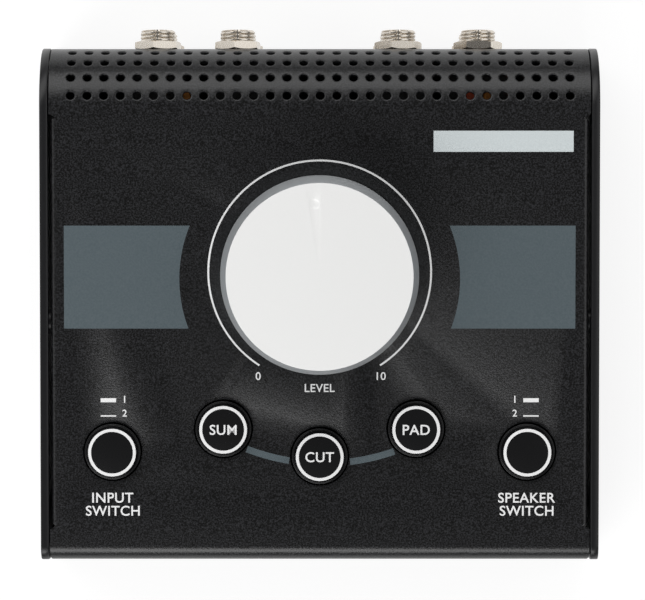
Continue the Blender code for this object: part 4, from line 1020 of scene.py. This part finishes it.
def make_capacitor(name, x, look):
    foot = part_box("jack_1")[1].z + CAPACITOR_GAP
    wide, deep = CAPACITOR_SIZE
    bm = bmesh.new()
    add_box(bm, (x - deep / 2, CAPACITOR_Y - wide / 2, foot),
            (x + deep / 2, CAPACITOR_Y + wide / 2, CAPACITOR_TOP))
    piece = finished(name, bm, look, "case",
                     bevel=CAPACITOR_ROUND)
    settle(piece)


# Prints on the panel

def print_outline(bm, outline):
    add_prism(bm, outline, -PRINT_SINK, PRINT, PANEL)


def arc_points(radius, start, end, steps):
    return [(radius * math.cos(start + (end - start) * k / steps),
             radius * math.sin(start + (end - start) * k / steps)) for k in range(steps + 1)]


def print_band(bm, centre, radius, width, start, end, steps):
    inner = arc_points(radius - width / 2, start, end, steps)
    outer = arc_points(radius + width / 2, start, end, steps)
    print_outline(bm, [(centre[0] + x, centre[1] + y) for x, y in inner + outer[::-1]])


def print_rectangle(bm, low, high):
    print_outline(bm, [(low[0], low[1]), (high[0], low[1]), (high[0], high[1]),
                       (low[0], high[1])])


SLATE_OUTER = 68.5 * MM
SLATE_LOW = -14.84 * MM
SLATE_HIGH = 12.76 * MM
SLATE_ARC = 37.6 * MM
SLATE_ARC_Y = -1.54 * MM
SCALE_RADIUS = 29.84 * MM
SCALE_Y = 0.36 * MM          # the scale's centre, behind the knob's axis
SCALE_WIDTH = 0.5 * MM
SCALE_OPEN = math.radians(32.8)
BAND_RADIUS = 57.0 * MM
BAND_CENTRE = (1.05 * MM, 5.9 * MM)
BAND_WIDTH = 1.8 * MM
BAND_CLEAR = 8.05 * MM
STRIP_X = 49.17 * MM
STRIP_WIDTH = 37.44 * MM
STRIP_LOW = 32.5 * MM
STRIP_HIGH = 38.13 * MM
BAR_X = 56.7 * MM
BAR_WIDTH = 4.15 * MM
THICK_BAR_Y = -34.1 * MM
THICK_BAR = 1.09 * MM
THIN_BAR_Y = -38.33 * MM
THIN_BAR = 0.4 * MM


def make_prints():
    bm = bmesh.new()
    for side in (-1, 1):
        start = math.asin((SLATE_LOW - SLATE_ARC_Y) / SLATE_ARC)
        end = math.asin((SLATE_HIGH - SLATE_ARC_Y) / SLATE_ARC)
        arc = [(side * x, y + SLATE_ARC_Y) for x, y in arc_points(SLATE_ARC, start, end, 32)]
        print_outline(bm, arc + [(side * SLATE_OUTER, SLATE_HIGH), (side * SLATE_OUTER, SLATE_LOW)])
    finished("panel_slate_blocks", bm, print_slate, "case")

    bm = bmesh.new()
    places = [Vector(button_places[name]) for name in ("mono", "mute", "dim")]
    for first, second in zip(places, places[1:]):
        angles = []
        for place, sign in ((first, 1), (second, -1)):
            away = place - Vector(BAND_CENTRE)
            near = BAND_RADIUS - BAND_WIDTH / 2
            clear = math.acos((near ** 2 + away.length_squared - BAND_CLEAR ** 2)
                              / (2 * near * away.length))
            angles.append(math.atan2(away.y, away.x) + sign * clear)
        print_band(bm, BAND_CENTRE, BAND_RADIUS, BAND_WIDTH, angles[0], angles[1], 24)
    finished("panel_link_bands", bm, print_slate, "case")

    bm = bmesh.new()
    print_band(bm, (0.0, SCALE_Y), SCALE_RADIUS, SCALE_WIDTH, SCALE_OPEN - math.pi / 2,
               3 * math.pi / 2 - SCALE_OPEN, 160)
    for side in (-1, 1):
        low = side * BAR_X - BAR_WIDTH / 2
        for y, height in ((THICK_BAR_Y, THICK_BAR), (THIN_BAR_Y, THIN_BAR)):
            print_rectangle(bm, (low, y - height / 2), (low + BAR_WIDTH, y + height / 2))
    finished("panel_white_lines", bm, print_white, "case")

    bm = bmesh.new()
    print_rectangle(bm, (STRIP_X - STRIP_WIDTH / 2, STRIP_LOW),
                    (STRIP_X + STRIP_WIDTH / 2, STRIP_HIGH))
    finished("panel_marking_strip", bm, print_pale, "case")


LETTER_SPACING = 1.06
LETTER_WEIGHT = 0.012        # how far outlines grow, as a share of the letters' size
LETTER_MERGE = 0.0005        # the same share, for points that fall together


def make_label(name, words, x, foot, height, body="case", level=0.0):
    """Letters of that height, centred on x, as a thin solid on the panel or a button."""
    curve = bpy.data.curves.new(name, "FONT")
    curve.body = words
    curve.align_x = "CENTER"
    curve.space_character = LETTER_SPACING
    curve.offset = LETTER_WEIGHT
    curve.resolution_u = 6
    curve.extrude = 0.5
    draft = new_object("draft", curve)
    bpy.context.view_layer.update()
    mesh = bpy.data.meshes.new_from_object(
        draft.evaluated_get(bpy.context.evaluated_depsgraph_get()))
    bpy.data.objects.remove(draft)
    across = [v.co.x for v in mesh.vertices]
    upward = [v.co.y for v in mesh.vertices]
    scale = height / (max(upward) - min(upward))
    bm = bmesh.new()
    bm.from_mesh(mesh)
    bmesh.ops.remove_doubles(bm, verts=bm.verts, dist=LETTER_MERGE)
    place = (PANEL @ at(x, foot, level + (PRINT - PRINT_SINK) / 2)
             @ Matrix.Diagonal((scale, scale, PRINT + PRINT_SINK, 1.0))
             @ at(-(min(across) + max(across)) / 2, -min(upward)))
    bmesh.ops.transform(bm, matrix=place, verts=bm.verts)
    finished(name, bm, print_white, body)


LABEL_HEIGHT = 2.72 * MM
SMALL_LABEL_HEIGHT = 2.17 * MM
BUTTON_LABELS = {"mono": "SUM", "mute": "CUT", "dim": "PAD"}
SELECT_LABELS = {"source": "INPUT", "monitor": "SPEAKER"}
SCALE_LABEL_Y = -28.69 * MM
SCALE_NAME_Y = -31.91 * MM
SCALE_LABEL_X = 16.5 * MM
SELECT_LABEL_Y = -61.74 * MM
SELECT_SECOND_Y = -65.25 * MM
CHOICE_X = 52.35 * MM
CHOICE_Y = (-34.8 * MM, -38.5 * MM)
CHOICE_HEIGHT = 1.9 * MM


def make_labels():
    for name, words in BUTTON_LABELS.items():
        x, y = button_places[name]
        make_label(name + "_label", words, x, y - LABEL_HEIGHT / 2, LABEL_HEIGHT, name,
                   panel_box(name + "_button")[1].z)
    make_label("scale_low_label", "0", -SCALE_LABEL_X, SCALE_LABEL_Y, SMALL_LABEL_HEIGHT)
    make_label("scale_high_label", "10", SCALE_LABEL_X, SCALE_LABEL_Y, SMALL_LABEL_HEIGHT)
    make_label("scale_name_label", "LEVEL", 0.0, SCALE_NAME_Y, SMALL_LABEL_HEIGHT)
    for name, words in SELECT_LABELS.items():
        x, y = button_places[name]
        make_label(name + "_label", words, x, SELECT_LABEL_Y, LABEL_HEIGHT)
        make_label(name + "_second_label", "SWITCH", x, SELECT_SECOND_Y, LABEL_HEIGHT)
        for count, foot in enumerate(CHOICE_Y, start=1):
            make_label(f"{name}_choice_{count}", str(count), math.copysign(CHOICE_X, x), foot,
                       CHOICE_HEIGHT)


SIDES = ("left", "right")
SCREW_ENDS = ("top", "front", "rear")

make_cover()
make_standoffs()
for side in SIDES:
    make_cheek(side)
    for end in SCREW_ENDS:
        make_screw(side, end)
make_bottom()
for corner in ("front_left", "front_right", "rear_left", "rear_right"):
    make_foot(corner)
make_knob()
for name in BUTTONS:
    make_button(name)
    make_spring(name)
for number in JACKS:
    make_jack(number)
    make_nut(number)
for name, (x, look) in CAPACITORS.items():
    make_capacitor(name, x, look)
make_prints()
make_labels()


# Floor, light and camera

FLOOR_REACH = 3.0
FLOOR_COLOUR = 0.85
FLOOR_ROUGHNESS = 0.9
FLOOR_GLOW = 0.78
FLOOR_SHADE = 0.3
ROOM_LIGHT = 0.12
SOFTBOX_DISTANCE = 1.2
# Name: size in metres, bearing and height in degrees, brightness
SOFTBOXES = {
    "rear_softbox": ((1.8, 0.8), 106, 43, 2.1),
    "front_softbox": ((1.3, 0.55), -112, 42, 4.4),
    "left_softbox": ((1.0, 0.8), 178, 22, 0.8),
    "right_softbox": ((1.2, 0.9), 4, 44, 1.0),
}


def make_floor():
    bm = bmesh.new()
    bmesh.ops.create_grid(bm, x_segments=1, y_segments=1, size=FLOOR_REACH)
    mesh = bpy.data.meshes.new("floor")
    bm.to_mesh(mesh)
    bm.free()
    floor = new_object("floor", mesh)
    floor.location.z = cad_box[0].z
    material, nodes, links = new_material("floor_white")
    plain = nodes["Principled BSDF"]
    plain.inputs["Base Color"].default_value = (*grey(FLOOR_COLOUR), 1.0)
    plain.inputs["Roughness"].default_value = FLOOR_ROUGHNESS
    glow = nodes.new("ShaderNodeEmission")
    glow.inputs["Strength"].default_value = FLOOR_GLOW
    faint = nodes.new("ShaderNodeBsdfDiffuse")
    faint.inputs["Color"].default_value = (*grey(FLOOR_SHADE), 1.0)
    seen = nodes.new("ShaderNodeAddShader")
    links.new(glow.outputs["Emission"], seen.inputs[0])
    links.new(faint.outputs["BSDF"], seen.inputs[1])
    choose = nodes.new("ShaderNodeMixShader")
    links.new(seen_directly(nodes, links), choose.inputs["Fac"])
    links.new(plain.outputs["BSDF"], choose.inputs[1])
    links.new(seen.outputs["Shader"], choose.inputs[2])
    links.new(choose.outputs["Shader"], nodes["Material Output"].inputs["Surface"])
    mesh.materials.append(material)


def seen_directly(nodes, links):
    """1 for camera, glossy and transmission rays, 0 for the rest."""
    path = nodes.new("ShaderNodeLightPath")
    total = path.outputs["Is Camera Ray"]
    for name in ("Is Glossy Ray", "Is Transmission Ray"):
        join = nodes.new("ShaderNodeMath")
        join.operation = "MAXIMUM"
        links.new(total, join.inputs[0])
        links.new(path.outputs[name], join.inputs[1])
        total = join.outputs["Value"]
    return total


def make_world():
    """A dim room all round, so that black coats stay black from above."""
    world = bpy.data.worlds.new("studio")
    bpy.context.scene.world = world
    world.use_nodes = True
    background = world.node_tree.nodes["Background"]
    background.inputs["Color"].default_value = (1.0, 1.0, 1.0, 1.0)
    background.inputs["Strength"].default_value = ROOM_LIGHT


def add_softbox(name, size, bearing, height, brightness):
    """A panel of light at that bearing from +X and height, in degrees, facing the object."""
    light = bpy.data.lights.new(name, "AREA")
    light.shape = "RECTANGLE"
    light.size, light.size_y = size
    light.energy = brightness * math.pi * size[0] * size[1]
    lamp = new_object(name, light)
    bearing = math.radians(bearing)
    height = math.radians(height)
    away = Vector((math.cos(bearing) * math.cos(height), math.sin(bearing) * math.cos(height),
                   math.sin(height)))
    lamp.location = away * SOFTBOX_DISTANCE
    lamp.rotation_euler = away.to_track_quat("Z", "Y").to_euler()
    lamp.visible_camera = False


CAMERA_HEIGHT = 0.996
CAMERA_X = 0.75 * MM
CAMERA_Y = -1.82 * MM
FOCAL_PIXELS = 3559.0
PICTURE_WIDTH = 645
SENSOR_WIDTH = 36.0          # in millimetres


def make_camera():
    data = bpy.data.cameras.new("camera")
    data.sensor_fit = "HORIZONTAL"
    data.sensor_width = SENSOR_WIDTH
    data.lens = SENSOR_WIDTH * FOCAL_PIXELS / PICTURE_WIDTH
    camera = new_object("camera", data)
    camera.location = (CAMERA_X, CAMERA_Y, CAMERA_HEIGHT)
    bpy.context.scene.camera = camera


make_floor()
make_world()
for name, (size, bearing, height, brightness) in SOFTBOXES.items():
    add_softbox(name, size, bearing, height, brightness)
make_camera()
bpy.context.scene.view_settings.view_transform = "Standard"
